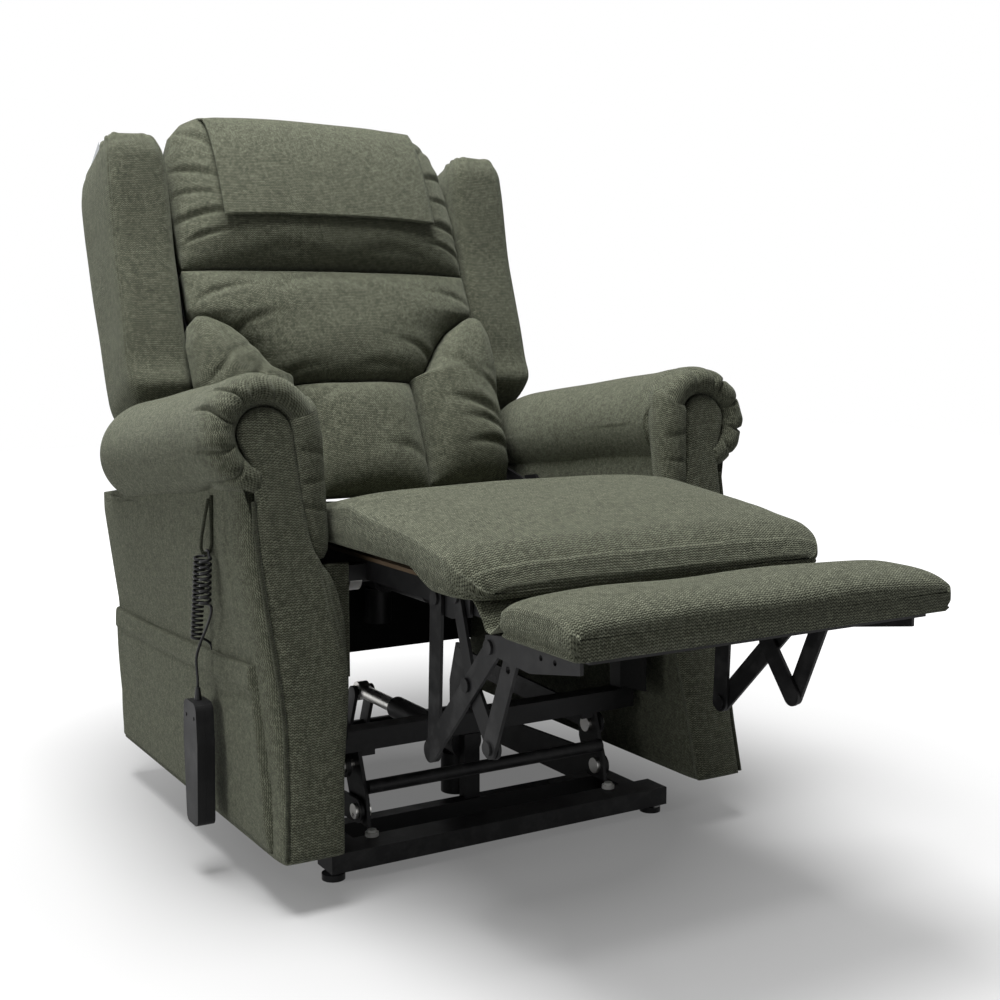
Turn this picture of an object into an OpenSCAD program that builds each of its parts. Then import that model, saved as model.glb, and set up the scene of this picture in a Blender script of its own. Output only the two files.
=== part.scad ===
// Lift recliner chair, shown with the footrest raised and the back reclined.
// X runs across the chair, the front faces -Y, and Z is up from the floor.

/* [Seat] */
// Half the width of the seat cushion
seat_half_w = 254; // [230:1:258]
// Height of the seat cushion's underside
seat_z = 410; // [408:1:414]
// Front edge of the seat cushion, ahead of the arms' foot
seat_front = -262; // [-290:1:-240]
// Rear edge of the seat cushion, under the back
seat_rear = 455; // [430:1:455]
// Height of the seat's crown
seat_crown_z = 500; // [480:1:510]

/* [Arms] */
// Distance from the middle to each arm's inner face
arm_inner_x = 272; // [272:1:300]
// Height of the arms' lower edge
arm_foot_z = 62; // [50:1:75]
// Rear edge of the arms
arm_rear_y = 650; // [600:1:680]
// Radius of the scroll roll on the arm
roll_r = 77; // [60:1:78]
// Height of the roll's axis
roll_z = 563; // [555:1:575]
// Backward lean of the arm fronts
arm_lean = 8.8; // [4:0.1:12]
// Fall of the rolls towards the rear
roll_slope = 6.9; // [5:0.1:8]
// Thickness of the tongue-shaped front panel
tongue_t = 14; // [8:1:20]

/* [Back] */
// Recline of the back from upright
back_recline = 25; // [23:0.5:27]
// Thickness of the back behind its cushions
back_depth = 150; // [140:1:160]
// Height of the back along its slope
back_h = 622; // [600:1:650]
// Half the width of the back's cushions
back_half_w = 248; // [235:1:250]
// Thickness of each wing
wing_t = 88; // [60:1:95]

/* [Footrest] */
// Half the width of the footrest cushion
foot_half_w = 250; // [235:1:260]
// Depth of the footrest cushion
foot_depth = 132; // [110:1:150]
// Thickness of the footrest cushion
foot_t = 50; // [40:1:56]
// Thickness of each linkage bar
bar_t = 4; // [3:0.5:4.4]
// Width of each linkage bar
bar_w = 26; // [24:1:28]
// Radius of the linkage pins
pin_r = 4; // [3:0.25:5]

/* [Lift base] */
// Half the length of the front floor bar
bar_half_len = 262; // [250:1:268]
// Depth of the front floor bar
floor_bar_d = 45; // [35:1:50]
// Height of the floor bars
floor_bar_h = 25; // [20:1:25]
// Thickness of the lift arms and plates
lift_t = 5; // [4:0.5:6]
// Radius of the lift pivot bolts
bolt_r = 5.5; // [4:0.5:6]

/* [Handset] */
// Length of the handset
handset_l = 160; // [140:1:170]
// Width of the handset
handset_w = 52; // [44:1:56]
// Thickness of the handset's two shells together
handset_t = 23; // [18:1:24]
// Outer radius of the curly cord
curl_r = 8; // [6:0.5:8]
// Radius of the cord's wire
wire_r = 1.8; // [1.4:0.1:2]

/* [Hidden] */

gap = 0.3;             // rest between soft solids and their neighbours
run = 0.08;            // running clearance of a pin in its bore
origin_y = 192.7;      // the origin, midway between the footrest's tip and the back, behind the arms' foot
$fn = 32;

// footrest linkage pivots, in the side view [y, z]
G1 = [-122, 390];
G2 = [-168, 399];
J1 = [-114, 211];
PX = [-200, 307];
J2 = [-246, 248];
O1 = [-257, 360];
O2 = [-296, 364];
link_play = 2.4;       // extra radius of the two open pivots
link_x = 204;          // inner face of the linkage hangers
layer = bar_t + 1;     // pitch of the linkage's layers
head_r = 8;            // rivet heads
head_t = 3;

// lift linkage pivots, in the side view [y, z]
B1 = [546, 48];
B2 = [554, 140];
C1 = [128, 66];
C2 = [151, 122];
lift_play = 2.9;       // extra radius of the open upper pivot
plate_x = 185;         // inner face of the chassis' lift plates
lift_layer = lift_t + 2;
lift_bar_w = 32;
lever_r = 70;          // lift motor's lever, from the lower pivot
lever_lead = 22;       // the lever's forward lean at rest

// floor frame
floor_z = 14;
bar_y = 61;
rail_y1 = 600;
side_rail_x = 212;
side_rail_w = 25;
foot_x = 250;
motor_y = 181;         // front end of the lift motor

// chassis
rail_x = 235;          // glide rails: inner face, width, height and length
rail_w = 21;
rail_z = 340;
rail_h = 40;
rail_y0 = 74;
rail_rear = 640;
rear_cloth_z = [150, 392]; // lower and upper edge of the cloth across the rear
beam_y = 135;
beam_z = 142;
beam_h = 28;
post_d = 30;
hinge = [430, 440];    // pivot of the back
hinge_t = 5;
hinge_x = 257;         // inner face of the recline levers, outside the rails
hinge_in = 249.8;      // and of the back's plates, which swing inside the arm rolls
recline_lever = 120;
legrest_z = 289;       // axis of the footrest's motor, below the recline lever's sweep

// seat frame
frame_z = rail_z + rail_h + gap;
frame_h = 24.5;
seat_tube_w = 25;
deck_x = link_x - seat_tube_w - 1;

// back, in its own upright frame: origin on the face plane, Z up the slope
back_foot = [477, 464];
back_tube_x = back_half_w - 26;
back_tube_y = 36;      // the frame's tubes, behind the face plane
back_bar = [527, 465]; // the back frame's lowest cross tube, in the side view
pad_deep = back_tube_y - gap;

module place() { translate([0, -origin_y, 0]) children(); }
module both() { for (s = [0, 1]) mirror([s, 0, 0]) children(); }
module on_back() { translate([0, back_foot[0], back_foot[1]]) rotate([-back_recline, 0, 0]) children(); }
// a side-view outline [y, z] made into a plate from x to x + t
module side_plate(x, t, pts) { translate([x, 0, 0]) rotate([90, 0, 90]) linear_extrude(t) polygon(pts); }
module side_rod(x, t, p, r) { translate([x, p[0], p[1]]) rotate([0, 90, 0]) cylinder(h = t, r = r); }
module box(a, b) { translate(a) cube(b - a); }
// a bar of width w between pivots a and b, with round ends
module side_bar(x, t, a, b, w) {
    d = b - a;
    n = [-d[1], d[0]] / norm(d) * w / 2;
    side_plate(x, t, [a + n, a - n, b - n, b + n]);
    side_rod(x, t, a, w / 2);
    side_rod(x, t, b, w / 2);
}

// ---- soft forms: closed lofts through rings of equal length
function flat(v) = [for (a = v) for (b = a) b];
function ring_faces(n, m) = [for (i = [0:n - 2]) for (j = [0:m - 1])
    let (a = i * m + j, b = i * m + (j + 1) % m) each [[a, b, b + m], [a, b + m, a + m]]];
module loft(rings, strip = false) {
    m = len(rings[0]);
    n = len(rings);
    p = flat(rings);
    last = (n - 1) * m;
    // the ends: a fan from the first point, or a strip between the ring's first half and its second
    cap = strip ? [for (j = [0:m / 2 - 2]) each [[j, j + 1, m - 2 - j], [j, m - 2 - j, m - 1 - j]]]
        : [for (j = [1:m - 2]) [0, j, j + 1]];
    ends = concat([for (t = cap) [t[2], t[1], t[0]]], [for (t = cap) [for (i = t) last + i]]);
    f = concat(ring_faces(n, m), ends);
    v = [for (t = f) p[t[0]] * cross(p[t[1]], p[t[2]])];
    outward = v * [for (a = v) 1] < 0;
    polyhedron(points = p, faces = outward ? f : [for (t = f) [t[2], t[1], t[0]]]);
}
// crowned section across x: a flat base at y = deep, side walls to y = 0, and a bulge b towards -y
function crown_ring(x0, x1, deep, b, z, m = 10) = concat(
    [[x0, deep, z], [x1, deep, z]],
    [for (i = [0:m]) let (s = 1 - 2 * i / m)
        [(x0 + x1) / 2 + s * (x1 - x0) / 2, -b * pow(1 - pow(abs(s), 2.6), 0.6), z]]);
// swell from 0 at both ends to 1 in the middle
function swell(t, p = 2.6, q = 0.5) = pow(max(0, 1 - pow(abs(2 * t - 1), p)), q);
function mix(a, b, t) = a + (b - a) * t;
// piecewise straight reading of a list of [position, value]
function read(tab, t) = lookup(t, tab);

// ---- base
module base_frame() {
    color([0.06, 0.06, 0.065]) place() difference() {
        union() {
            box([-bar_half_len, bar_y, floor_z], [bar_half_len, bar_y + floor_bar_d, floor_z + floor_bar_h]);
            both() box([side_rail_x, bar_y + floor_bar_d, floor_z],
                [side_rail_x + side_rail_w, rail_y1, floor_z + floor_bar_h]);
            box([-side_rail_x, rail_y1 - side_rail_w, floor_z], [side_rail_x, rail_y1,
                floor_z + floor_bar_h]);
            box([-side_rail_x, motor_y - 22, floor_z], [side_rail_x, motor_y, floor_z + floor_bar_h]);
            box([-12, motor_y - 16, floor_z + floor_bar_h], [12, motor_y - 0.1, motor_z() + 15]);
            both() side_plate(tower_x(), lift_t, [[505, floor_z], [rail_y1, floor_z], [rail_y1, 90],
                [578, 160],
                [532, 160], [515, 70]]);
            both() side_rod(tower_x() - 2 * lift_layer, 2 * lift_layer + lift_t, B1, bolt_r);
            both() side_rod(tower_x() - lift_layer, lift_layer + lift_t, B2, bolt_r);
        }
        both() translate([foot_x, bar_y + 23, -1]) cylinder(h = floor_z + 5, r = 4 + gap);
    }
}
function tower_x() = plate_x + 3 * lift_layer;

module levelling_feet() {
    color([0.08, 0.08, 0.08]) place() both() for (p = [[foot_x, bar_y + 23], [side_rail_x + 12, 585]])
        translate([p[0], p[1], 0]) {
            cylinder(h = 8, r = 15);
            cylinder(h = floor_z - 0.1, r = 6);
            if (p[0] == foot_x) cylinder(h = floor_z + 4, r = 4);
        }
}

module bump_stops() {
    color([0.9, 0.9, 0.88]) place() both() translate([plate_x + lift_t / 2, 101, floor_z + floor_bar_h]) {
        cylinder(h = 5, r = 9);
        cylinder(h = 8.3, r = 6);
    }
}

// ---- lift
module lower_lift_arms() {
    x = plate_x + lift_layer;
    color([0.06, 0.06, 0.065]) place() difference() {
        union() {
            both() side_bar(x, lift_t, B1, C1, lift_bar_w);
            side_rod(-x, 2 * x, B1, 12);
            for (s = [-18, 12]) side_bar(s, 6, B1, lever_pin(), 24);
            side_rod(-18, 36, lever_pin(), pin_r + 1);
        }
        both() side_rod(x - 1, lift_t + 2, C1, bolt_r + run);
        both() side_rod(x - 20, lift_t + 21, B1, bolt_r + run);
    }
}
function lever_pin() = B1 + lever_r * [-sin(lever_lead), cos(lever_lead)];

module upper_lift_arms() {
    x = plate_x + 2 * lift_layer;
    color([0.06, 0.06, 0.065]) place() both() difference() {
        side_bar(x, lift_t, B2, C2, lift_bar_w);
        side_rod(x - 1, lift_t + 2, C2, bolt_r + lift_play);
        side_rod(x - 1, lift_t + 2, B2, bolt_r + run);
    }
}

module lift_pivot_bolts() {
    color([0.75, 0.75, 0.72]) place() both() for (p = [[C1, 1], [C2, 2]]) {
        side_rod(plate_x - 4, 4 + lift_t + p[1] * lift_layer, p[0], bolt_r);
        side_rod(plate_x - 5, 5, p[0], 2 * bolt_r);
        side_rod(plate_x + lift_t + p[1] * lift_layer + gap, 4, p[0], 1.8 * bolt_r);
        side_rod(plate_x, lift_t + p[1] * lift_layer + 2, p[0], bolt_r - 1);
    }
}

// a linear actuator's tube and gearbox along Y from y0, with its axis at [x, z]
module actuator(x, z, y0, len) {
    translate([x, y0, z]) rotate([-90, 0, 0]) difference() {
        union() {
            cylinder(h = len, r = 17);
            cylinder(h = 62, r = 24);
        }
        translate([0, 0, 64]) cylinder(h = len, r = 11 + run);
    }
    translate([x, y0 + 30, z - 78]) cylinder(h = 58, r = 22);
}
module lift_motor() {
    color([0.1, 0.1, 0.1]) place() actuator(0, motor_z(), motor_y, 215);
}
function motor_z() = 48 + lever_r * (cos(lever_lead) + 1) / 2;
module lift_motor_rod() {
    p = lever_pin();
    color([0.7, 0.7, 0.7]) place() difference() {
        union() {
            translate([0, 300, motor_z()]) rotate([-90, 0, 0]) cylinder(h = p[0] - 300 - 12, r = 11);
            side_rod(-9, 18, [p[0], motor_z()], 15);
        }
        side_rod(-10, 20, [p[0], motor_z()], pin_r + 1 + 3.4);
    }
}

// ---- chassis
module chassis_frame() {
    color([0.07, 0.07, 0.075]) place() difference() {
        union() {
            both() difference() {
                box([rail_x, rail_y0, rail_z], [rail_x + rail_w, rail_rear, rail_z + rail_h]);
                box([rail_x + 3, rail_y0 - 1, rail_z + 3], [rail_x + rail_w - 3, rail_rear - 40,
                    rail_z + rail_h - 3]);
            }
            box([-rail_x, rail_rear - post_d, rail_z], [rail_x, rail_rear, rail_z + rail_h - 8]);
            box([-rail_x - rail_w, beam_y, beam_z], [rail_x + rail_w, beam_y + post_d, beam_z + beam_h]);
            both() box([rail_x, beam_y, beam_z + beam_h], [rail_x + rail_w, beam_y + post_d, rail_z]);
            both() side_plate(plate_x, lift_t, [[108, 47.6], [150, 47.6], [172, 100], [172, beam_z],
                [beam_y, beam_z], [112, 84]]);
            side_rod(-plate_x, 2 * plate_x, [118, 98], 9);
            both() side_plate(plate_x - 20, 20, [[beam_y, beam_z - 7], [beam_y + post_d, beam_z - 7],
                [beam_y + post_d, beam_z], [beam_y, beam_z]]);
            both() box([rail_x + rail_w, 320, rail_z], [hinge_x + hinge_t + 1.5, 385, rail_z + rail_h]);
            both() side_plate(hinge_x + hinge_t + 1.5, hinge_t, [[320, rail_z], [385, rail_z], [452, 428],
                [448, 456], [418, 460], [320, rail_z + rail_h]]);
            both() side_rod(hinge_x - 1.5, hinge_t + 4, hinge, pin_r + 2);
            both() for (y = [rail_y0 + 2, 520]) box([rail_x + rail_w, y, rail_z + 2],
                [arm_inner_x - gap, y + 60, rail_z + rail_h - 4]);
            box([48, rail_rear - post_d, legrest_z - 17], [72, rail_rear, rail_z]);
            box([-72, rail_rear - post_d, 300], [-48, rail_rear, rail_z]);
        }
        both() for (p = [C1, C2]) side_rod(plate_x - 1, lift_t + 2, p, bolt_r + gap);
    }
}

module control_box() {
    color([0.12, 0.12, 0.12]) place() hull() for (i = [0, 1]) translate([-200 + 4 * i, 605 + 2 * i,
        290 - 4 * i])
        cube([110 - 8 * i, 34 - 4 * i, 49.7 - 4 * i]);
}

// the same, turned round, with its gearbox at the rear bracket and its mouth at y1
module rear_actuator(x, z, y1) {
    y0 = rail_rear - post_d - 0.2;
    translate([x, y0, z]) mirror([0, 1, 0]) translate([-x, 0, -z]) actuator(x, z, 0, y0 - y1);
}
module legrest_motor() {
    color([0.1, 0.1, 0.1]) place() rear_actuator(60, legrest_z, 395);
}
module legrest_motor_rod() {
    color([0.7, 0.7, 0.7]) place() {
        translate([60, 167, legrest_z]) rotate([-90, 0, 0]) cylinder(h = 233, r = 11);
        box([50, 145, legrest_z - 14], [70, 168, frame_z - 0.1]);
    }
}

module recline_motor() {
    color([0.1, 0.1, 0.1]) place() rear_actuator(-60, hinge[1] - recline_lever, 484);
}
module recline_rod() {
    z = hinge[1] - recline_lever;
    color([0.7, 0.7, 0.7]) place() difference() {
        union() {
            translate([-60, hinge[0] + 16, z]) rotate([-90, 0, 0]) cylinder(h = 66, r = 11);
            side_rod(-70, 20, [hinge[0], z], 21);
        }
        side_rod(-71, 22, [hinge[0], z + 1], 10 + 4.5);
    }
}

module dust_lining() {
    color([0.03, 0.03, 0.03]) place() {
        both() side_plate(rail_x - 4, 3.8, [[rail_y0 + 2, 180], [beam_y - 1, 176],
            [beam_y - 1, rail_z + 20], [rail_y0 + 2, rail_z + 20]]);
        // the cloth across the rear, from arm to arm
        box([-arm_inner_x + gap, rail_rear + 0.1, rear_cloth_z[0]],
            [arm_inner_x - gap, rail_rear + 3, rear_cloth_z[1]]);
    }
}
module front_fillers() {
    color([0.25, 0.26, 0.21]) place() both() {
        box([rail_x - 5, rail_y0 - 6, 262], [arm_inner_x - gap, rail_y0 - 0.2, seat_z - 5]);
    }
}

// ---- arms; each is drawn for +X and mirrored
roll_x = arm_inner_x - 17 + roll_r;          // the roll's axis
roll_face = 93;                              // front face of the roll, at its axis
roll_rear = arm_rear_y - 8;
function arm_outer(z) = arm_inner_x + read([[62, 78], [140, 74], [280, 80], [420, 98], [500, 99], [600,
    96]], z);
function lean_y(z) = (z - arm_foot_z) * tan(arm_lean);
// the roll's own frame: Z along its axis, which falls to the rear, from its front face
module on_roll() { translate([roll_x, roll_face, roll_z]) rotate([-90 - roll_slope, 0, 0]) children(); }

module arm_body() {
    top = roll_z + 10;
    difference() {
        intersection() {
            rotate([90, 0, 0]) translate([0, 0, -arm_rear_y]) linear_extrude(arm_rear_y)
                polygon(concat([[arm_inner_x, arm_foot_z]],
                    [for (z = [62, 140, 280, 420, 500, top]) [arm_outer(z), max(z, arm_foot_z)]],
                    [[arm_inner_x, top]]));
            side_plate(arm_inner_x - 1, 200, [[tongue_t, arm_foot_z - 1], [arm_rear_y, arm_foot_z - 1],
                [arm_rear_y, top - (arm_rear_y - roll_face) * tan(roll_slope)],
                    [lean_y(top) + tongue_t, top]]);
        }
        on_roll() translate([0, 0, -40]) cylinder(h = arm_rear_y, r = roll_r + gap, $fn = 64);
        wing_relief();
    }
}
// room for the wing's lower corner as the back reclines
module wing_relief() {
    side_plate(200, 156, [[500, 640], [550, 582], [590, 532], [610, 492], [640, 448], [arm_rear_y + 1, 438],
        [arm_rear_y + 1, 700], [500, 700]]);
}
roll_nose = 24;                              // rounding of the roll's front edge
roll_tail = 30;                              // and of its rear edge
module arm_roll() {
    len = (roll_rear - roll_face) / cos(roll_slope);
    difference() {
        on_roll() rotate_extrude($fn = 64) polygon(concat(
            [[0, 0]],
            [for (a = [0:15:90]) [roll_r - roll_nose * (1 - sin(a)), roll_nose * (1 - cos(a))]],
            [[roll_r - 4, 3 * roll_nose], [roll_r - 1, len - 160]],
            [for (a = [90:-15:0]) [roll_r - 1 - roll_tail * (1 - sin(a)), len - roll_tail * (1 - cos(a))]],
            [[0, len]]));
        wing_relief();
    }
}
// the gathered ring that frames the roll's front end
module arm_ring() {
    on_roll() rotate([180, 0, 0]) translate([0, 0, gap]) rotate([0, 0, -42])
        rotate_extrude(angle = 226, $fn = 64)
            polygon([for (a = [0:20:340]) [57 + 17.5 * cos(a), max(0, 20 * sin(a) + 6)]]);
}
// tongue-shaped panel down the arm's front: its outer edge, an arch, then its inner edge, as [x, z]
tongue_r = 36;
tongue_outer = [[80, 62], [72, 140], [70, 256], [71, 372], [78, 466], [82, 513]];
tongue_inner = [[22, 552], [4, 545], [-2, 520], [-2.5, 449], [-12.5, 412], [-22.5, 376], [-23.5, 339],
    [-15.3, 244],
    [2, 62]];
module arm_front() {
    k = 1 / cos(arm_lean);
    c = [roll_x - 1, (roll_z - arm_foot_z) * k];
    translate([0, 0, arm_foot_z]) rotate([-arm_lean, 0, 0]) rotate([90, 0, 0]) translate([0, 0,
        -tongue_t + gap])
        linear_extrude(tongue_t - 2 * gap) polygon(concat(
            [for (p = tongue_outer) [arm_inner_x + p[0], (p[1] - 62) * k]],
            [for (a = [0:15:180]) c + tongue_r * [cos(a), sin(a)]],
            [for (p = tongue_inner) [arm_inner_x + p[0], (p[1] - 62) * k]]));
}
arm_green = [0.25, 0.26, 0.21];
module arm_left_body() { color(arm_green) place() mirror([1, 0, 0]) arm_body(); }
module arm_left_roll() { color(arm_green) place() mirror([1, 0, 0]) arm_roll(); }
module arm_left_ring() { color(arm_green) place() mirror([1, 0, 0]) arm_ring(); }
module arm_left_front() { color(arm_green) place() mirror([1, 0, 0]) arm_front(); }
module arm_right_body() { color(arm_green) place() arm_body(); }
module arm_right_roll() { color(arm_green) place() arm_roll(); }
module arm_right_ring() { color(arm_green) place() arm_ring(); }
module arm_right_front() { color(arm_green) place() arm_front(); }

// ---- pocket, handset and its cord, on the left arm's outside
pocket_bulge = 5;
module side_pocket() {
    color(arm_green) place() mirror([1, 0, 0]) loft([for (i = [0:8]) let (t = i / 8,
        y = mix(arm_rear_y - 4, 40, t))
        let (top = mix(268, 292, t), b = pocket_bulge * swell(t))
        [[arm_outer(80) + gap, y, 80], [arm_outer(80) + gap + 2, y, 80], [arm_outer(180) + gap + 3 + b,
            y, 180],
         [arm_outer(top) + gap + 4 + b, y, top], [arm_outer(top) + gap + b / 2, y, top],
             [arm_outer(180) + gap, y, 180]]]);
}

hang_x = arm_inner_x + 113;       // the hanging cord's plane
hang_y = 158;
relief_h = 16;
hand_y = 190;
hand_top = 226;
loop_w = 5;
loop_z = 415;
loop_top = 486;
module cord_loop() {
    x0 = arm_outer(470) + gap;
    x1 = hang_x + 3;
    color(arm_green) place() mirror([1, 0, 0]) translate([0, hang_y + 2 + loop_w / 2, 0]) rotate([90, 0, 0])
        linear_extrude(loop_w) difference() {
            polygon([[x0, loop_top], [x0, loop_z + 7], [x0 + 6, loop_z], [x1 - 5, loop_z], [x1, loop_z + 6],
                [x1, loop_z + 20], [x0 + 5, loop_top]]);
            polygon([[x0 + 2.4, loop_top - 5], [x0 + 2.4, loop_z + 8], [x0 + 7, loop_z + 2.5], [x1 - 6,
                loop_z + 2.5],
                [x1 - 2.4, loop_z + 7], [x1 - 2.4, loop_z + 19], [x0 + 4, loop_top - 6]]);
        }
}
module handset_blank(t) {
    hull() for (p = [[5, 10, 10], [3, handset_l - 12, 12], [0, handset_l * 0.68, 14]]) for (s = [-1, 1])
        translate([s * (handset_w / 2 - p[2] - p[0]), p[1], 0]) cylinder(h = t, r = p[2], $fn = 24);
}
// local frame of the handset: keys face +Z towards the arm, top towards +Y
module on_handset() {
    translate([-hang_x, hand_y, hand_top - handset_l]) rotate([90, 0, 90]) children();
}
keys = [for (y = [0.8, 0.66]) for (x = [-11, 11]) [x, handset_l * y]];
key_r = 7;
module handset_front() {
    color([0.03, 0.03, 0.03]) place() on_handset() difference() {
        translate([0, 0, gap / 2]) handset_blank(handset_t / 2);
        for (k = keys) translate([k[0], k[1], handset_t / 2 - 4]) cylinder(h = 10, r = key_r + gap);
    }
}
module handset_back() {
    color([0.03, 0.03, 0.03]) place() on_handset() mirror([0, 0, 1]) handset_blank(handset_t / 2);
}
module handset_screws() {
    color([0.2, 0.2, 0.2]) place() on_handset() for (s = [-1, 1])
        translate([s * 14, handset_l - 20, -handset_t / 2 - 0.8]) cylinder(h = 0.7, r = 2.4);
}
module key(i) {
    color([0.15, 0.15, 0.15]) place() on_handset() translate([keys[i][0], keys[i][1],
        handset_t / 2 - 4 + 2.2])
        cylinder(h = 4, r = key_r);
}
module button_recline_up() { key(0); }
module button_recline_down() { key(1); }
module button_lift_up() { key(2); }
module button_lift_down() { key(3); }
module strain_relief() {
    color([0.03, 0.03, 0.03]) place() translate([-hang_x, hand_y, hand_top + 0.1])
        cylinder(h = relief_h, r1 = 5, r2 = 3, $fn = 24);
}

// the cord's centre line: up from the handset, over the loop and down into the pocket
step_a = 6.4;                     // pitch of the curls on the pocket's leg, then on the handset's
step_b = 8;
curl_sides = 6;
curl_rings = 8;
curl_axis = curl_r - wire_r;      // the wire's distance from the curls' axis
leg_top = loop_z - 3;
a_top = [-hang_x, hang_y + 13, leg_top];
b_top = [-hang_x, hang_y - 9, leg_top];
a_bottom = [-hang_x + 6, hang_y + 50, 300];
b_bottom = [-hang_x, hang_y - 3, 352];
// a wound tube down a leg from p to q with the given pitch, turning by hand h
function curls(p, q, step, h) = let (n = round((p[2] - q[2]) / step) * curl_rings) [for (i = [0:n])
    let (a = h * 360 * i / curl_rings, c = mix(p, q, i / n) + curl_axis * [cos(a), sin(a), 0])
    [for (j = [0:curl_sides - 1]) let (b = 360 * j / curl_sides)
        c + wire_r * (cos(b) * [cos(a), sin(a), 0] + sin(b) * [0, 0, 1])]];
module cord_curls() {
    color([0.02, 0.02, 0.02]) place() {
        loft(curls(a_top, a_bottom, step_a, 1));
        loft(curls(b_top, b_bottom, step_b, -1));
    }
}
echo(least_gap_between_curls = min(step_a, step_b) - 2 * wire_r);
// a round tube of radius r through points
function along(p, i) = let (a = p[max(0, i - 1)], b = p[min(len(p) - 1, i + 1)]) (b - a) / norm(b - a);
function tube_rings(p, r, n = 8) = [for (i = [0:len(p) - 1]) let (t = along(p, i),
    u0 = cross(t, [1, 0, 0]), u = u0 / norm(u0), v = cross(t, u))
    [for (j = [0:n - 1]) p[i] + r * (cos(360 * j / n) * u + sin(360 * j / n) * v)]];
// the stretches that aren't curled, each from the end that it starts at
over_loop = [[0, 0.1, 0], [0, 3.4, 0.2], [0, 5, 2], [0, 5.6, 4.4], [0, 6.8, 6.6], [0, 9, 7.6], [0, 11, 7.8],
    [0, 13, 7.6], [0, 15.2, 6.6], [0, 16.4, 4.4], [0, 17, 2], [0, 18.6, 0.2], [0, 21.9, 0]];
to_handset = [[0, -0.1, 0], [0, -3, -0.6], [0, -5, -4], [0, 0, -14], [0, 20, -36], [-2, 32, -52], [-6,
    38, -72],
    [-6.2, 36.5, -90], [-6.2, 35, -98], [-6.2, 35, -109.8]];
into_pocket = [[0, 0.1, 0], [1, 3, -0.4], [5, 6, -2], [11, 8, -6], [15.4, 9, -11], [17.6, 9.5, -17],
    [18, 9.5, -22]];
module cord_plain() {
    color([0.02, 0.02, 0.02]) place() for (run = [[over_loop, b_top], [to_handset, b_bottom],
        [into_pocket, a_bottom]])
        loft(tube_rings([for (p = run[0]) run[1] + [curl_axis, 0, 0] + p], wire_r));
}

// ---- seat
seat_frame_y = [-235, 440];  // front and rear end of the seat frame
cross_w = 25;                // width of its tubes along Y
module seat_frame() {
    color([0.07, 0.07, 0.075]) place() {
        both() box([deck_x, seat_frame_y[0], frame_z], [deck_x + seat_tube_w, seat_frame_y[1],
            frame_z + frame_h]);
        for (y = [rail_y0 + 2, seat_frame_y[1] - cross_w])
            box([-rail_x - 14, y, frame_z], [rail_x + 14, y + cross_w, frame_z + 20]);
        for (y = [[seat_frame_y[0], 20], [140, 30]])
            box([-deck_x, y[0], frame_z], [deck_x, y[0] + y[1], frame_z + frame_h]);
        both() side_plate(link_x, bar_t, [[-190, 378], [-150, 370], [-100, 372], [-90, 404], [-192, 410]]);
        both() side_rod(deck_x + seat_tube_w - 2, link_x - deck_x - seat_tube_w + 3, [-140, 393], 8);
        both() for (p = [G1, G2]) pivot_out(0, p);
    }
}
// a rivet on layer k that carries the bar on layer k + 1 outside it
module pivot_out(k, p, shy = 0) {
    x = link_x + k * layer;
    side_rod(x + 1, 2 * layer - 0.8, p, pin_r);
    side_rod(x + 2 * layer - 1 + gap, head_t, p, head_r + shy);
}
// a rivet on layer k that carries the bar on layer k - 1 inside it
module pivot_in(k, p, shy = 0) {
    x = link_x + k * layer;
    side_rod(x - layer - 1, layer + 2, p, pin_r);
    side_rod(x - layer - gap - head_t, head_t, p, head_r + shy);
}
module bore(k, p, play = 0) { side_rod(link_x + k * layer - 1, bar_t + 2, p, pin_r + run + play); }

module seat_runners() {
    color([0.45, 0.33, 0.2]) place() both() box([deck_x, seat_frame_y[0] + 3, frame_z + frame_h + 0.1],
        [deck_x + seat_tube_w, seat_frame_y[1], seat_z - gap]);
}
module seat_springs() {
    n = 14;
    reach = deck_x - 0.1;
    wave = [for (i = [0:n]) [mix(-reach, reach, i / n), i % 2 * 24]];
    color([0.5, 0.5, 0.5]) place() for (y = [-180:90:360]) translate([0, y, seat_z - gap - 3])
        linear_extrude(3) polygon(concat([for (p = wave) p + [0, 3]], [for (i = [n:-1:0]) wave[i] - [0, 3]]));
}
// crowned cushion: side wall up to the boxing, then the crown; it thins to the rear
function seat_top(y) = read([[seat_front, seat_z + 14], [seat_front + 12, seat_z + 36],
    [seat_front + 40, seat_z + 56],
    [-120, seat_crown_z - 16], [30, seat_crown_z], [150, seat_crown_z - 22], [250, seat_crown_z - 48],
    [330, seat_crown_z - 66], [seat_rear, seat_crown_z - 72]], y);
// width lost at each side, by distance from the front: round corners, then a step in to pass the back's plates
seat_corner = [[0, 34], [5, 22], [12, 14], [24, 6], [40, 1], [60, 0], [430, 0], [480, 6]];
module seat_cushion() {
    ys = [seat_front, seat_front + 5, seat_front + 12, seat_front + 24, seat_front + 40, -170, -120,
        -45, 30, 90, 150,
        250, 330, seat_rear];
    color([0.33, 0.34, 0.27]) place() loft([for (y = ys) let (h = seat_top(y) - seat_z,
        b = h * (0.3 - 0.0016 * h),
        w = seat_half_w - read(seat_corner, y - seat_front))
        concat([[w - 4, y, seat_z], [-w + 4, y, seat_z], [-w - 1, y, seat_z + h * 0.3], [-w + 2, y,
            seat_z + h * 0.62]],
            [for (i = [1:13]) let (s = -1 + i / 7) [s * (w - 2), y, seat_z + h - b * pow(abs(s), 4)]],
            [[w - 2, y, seat_z + h * 0.62], [w + 1, y, seat_z + h * 0.3]])]);
}

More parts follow.
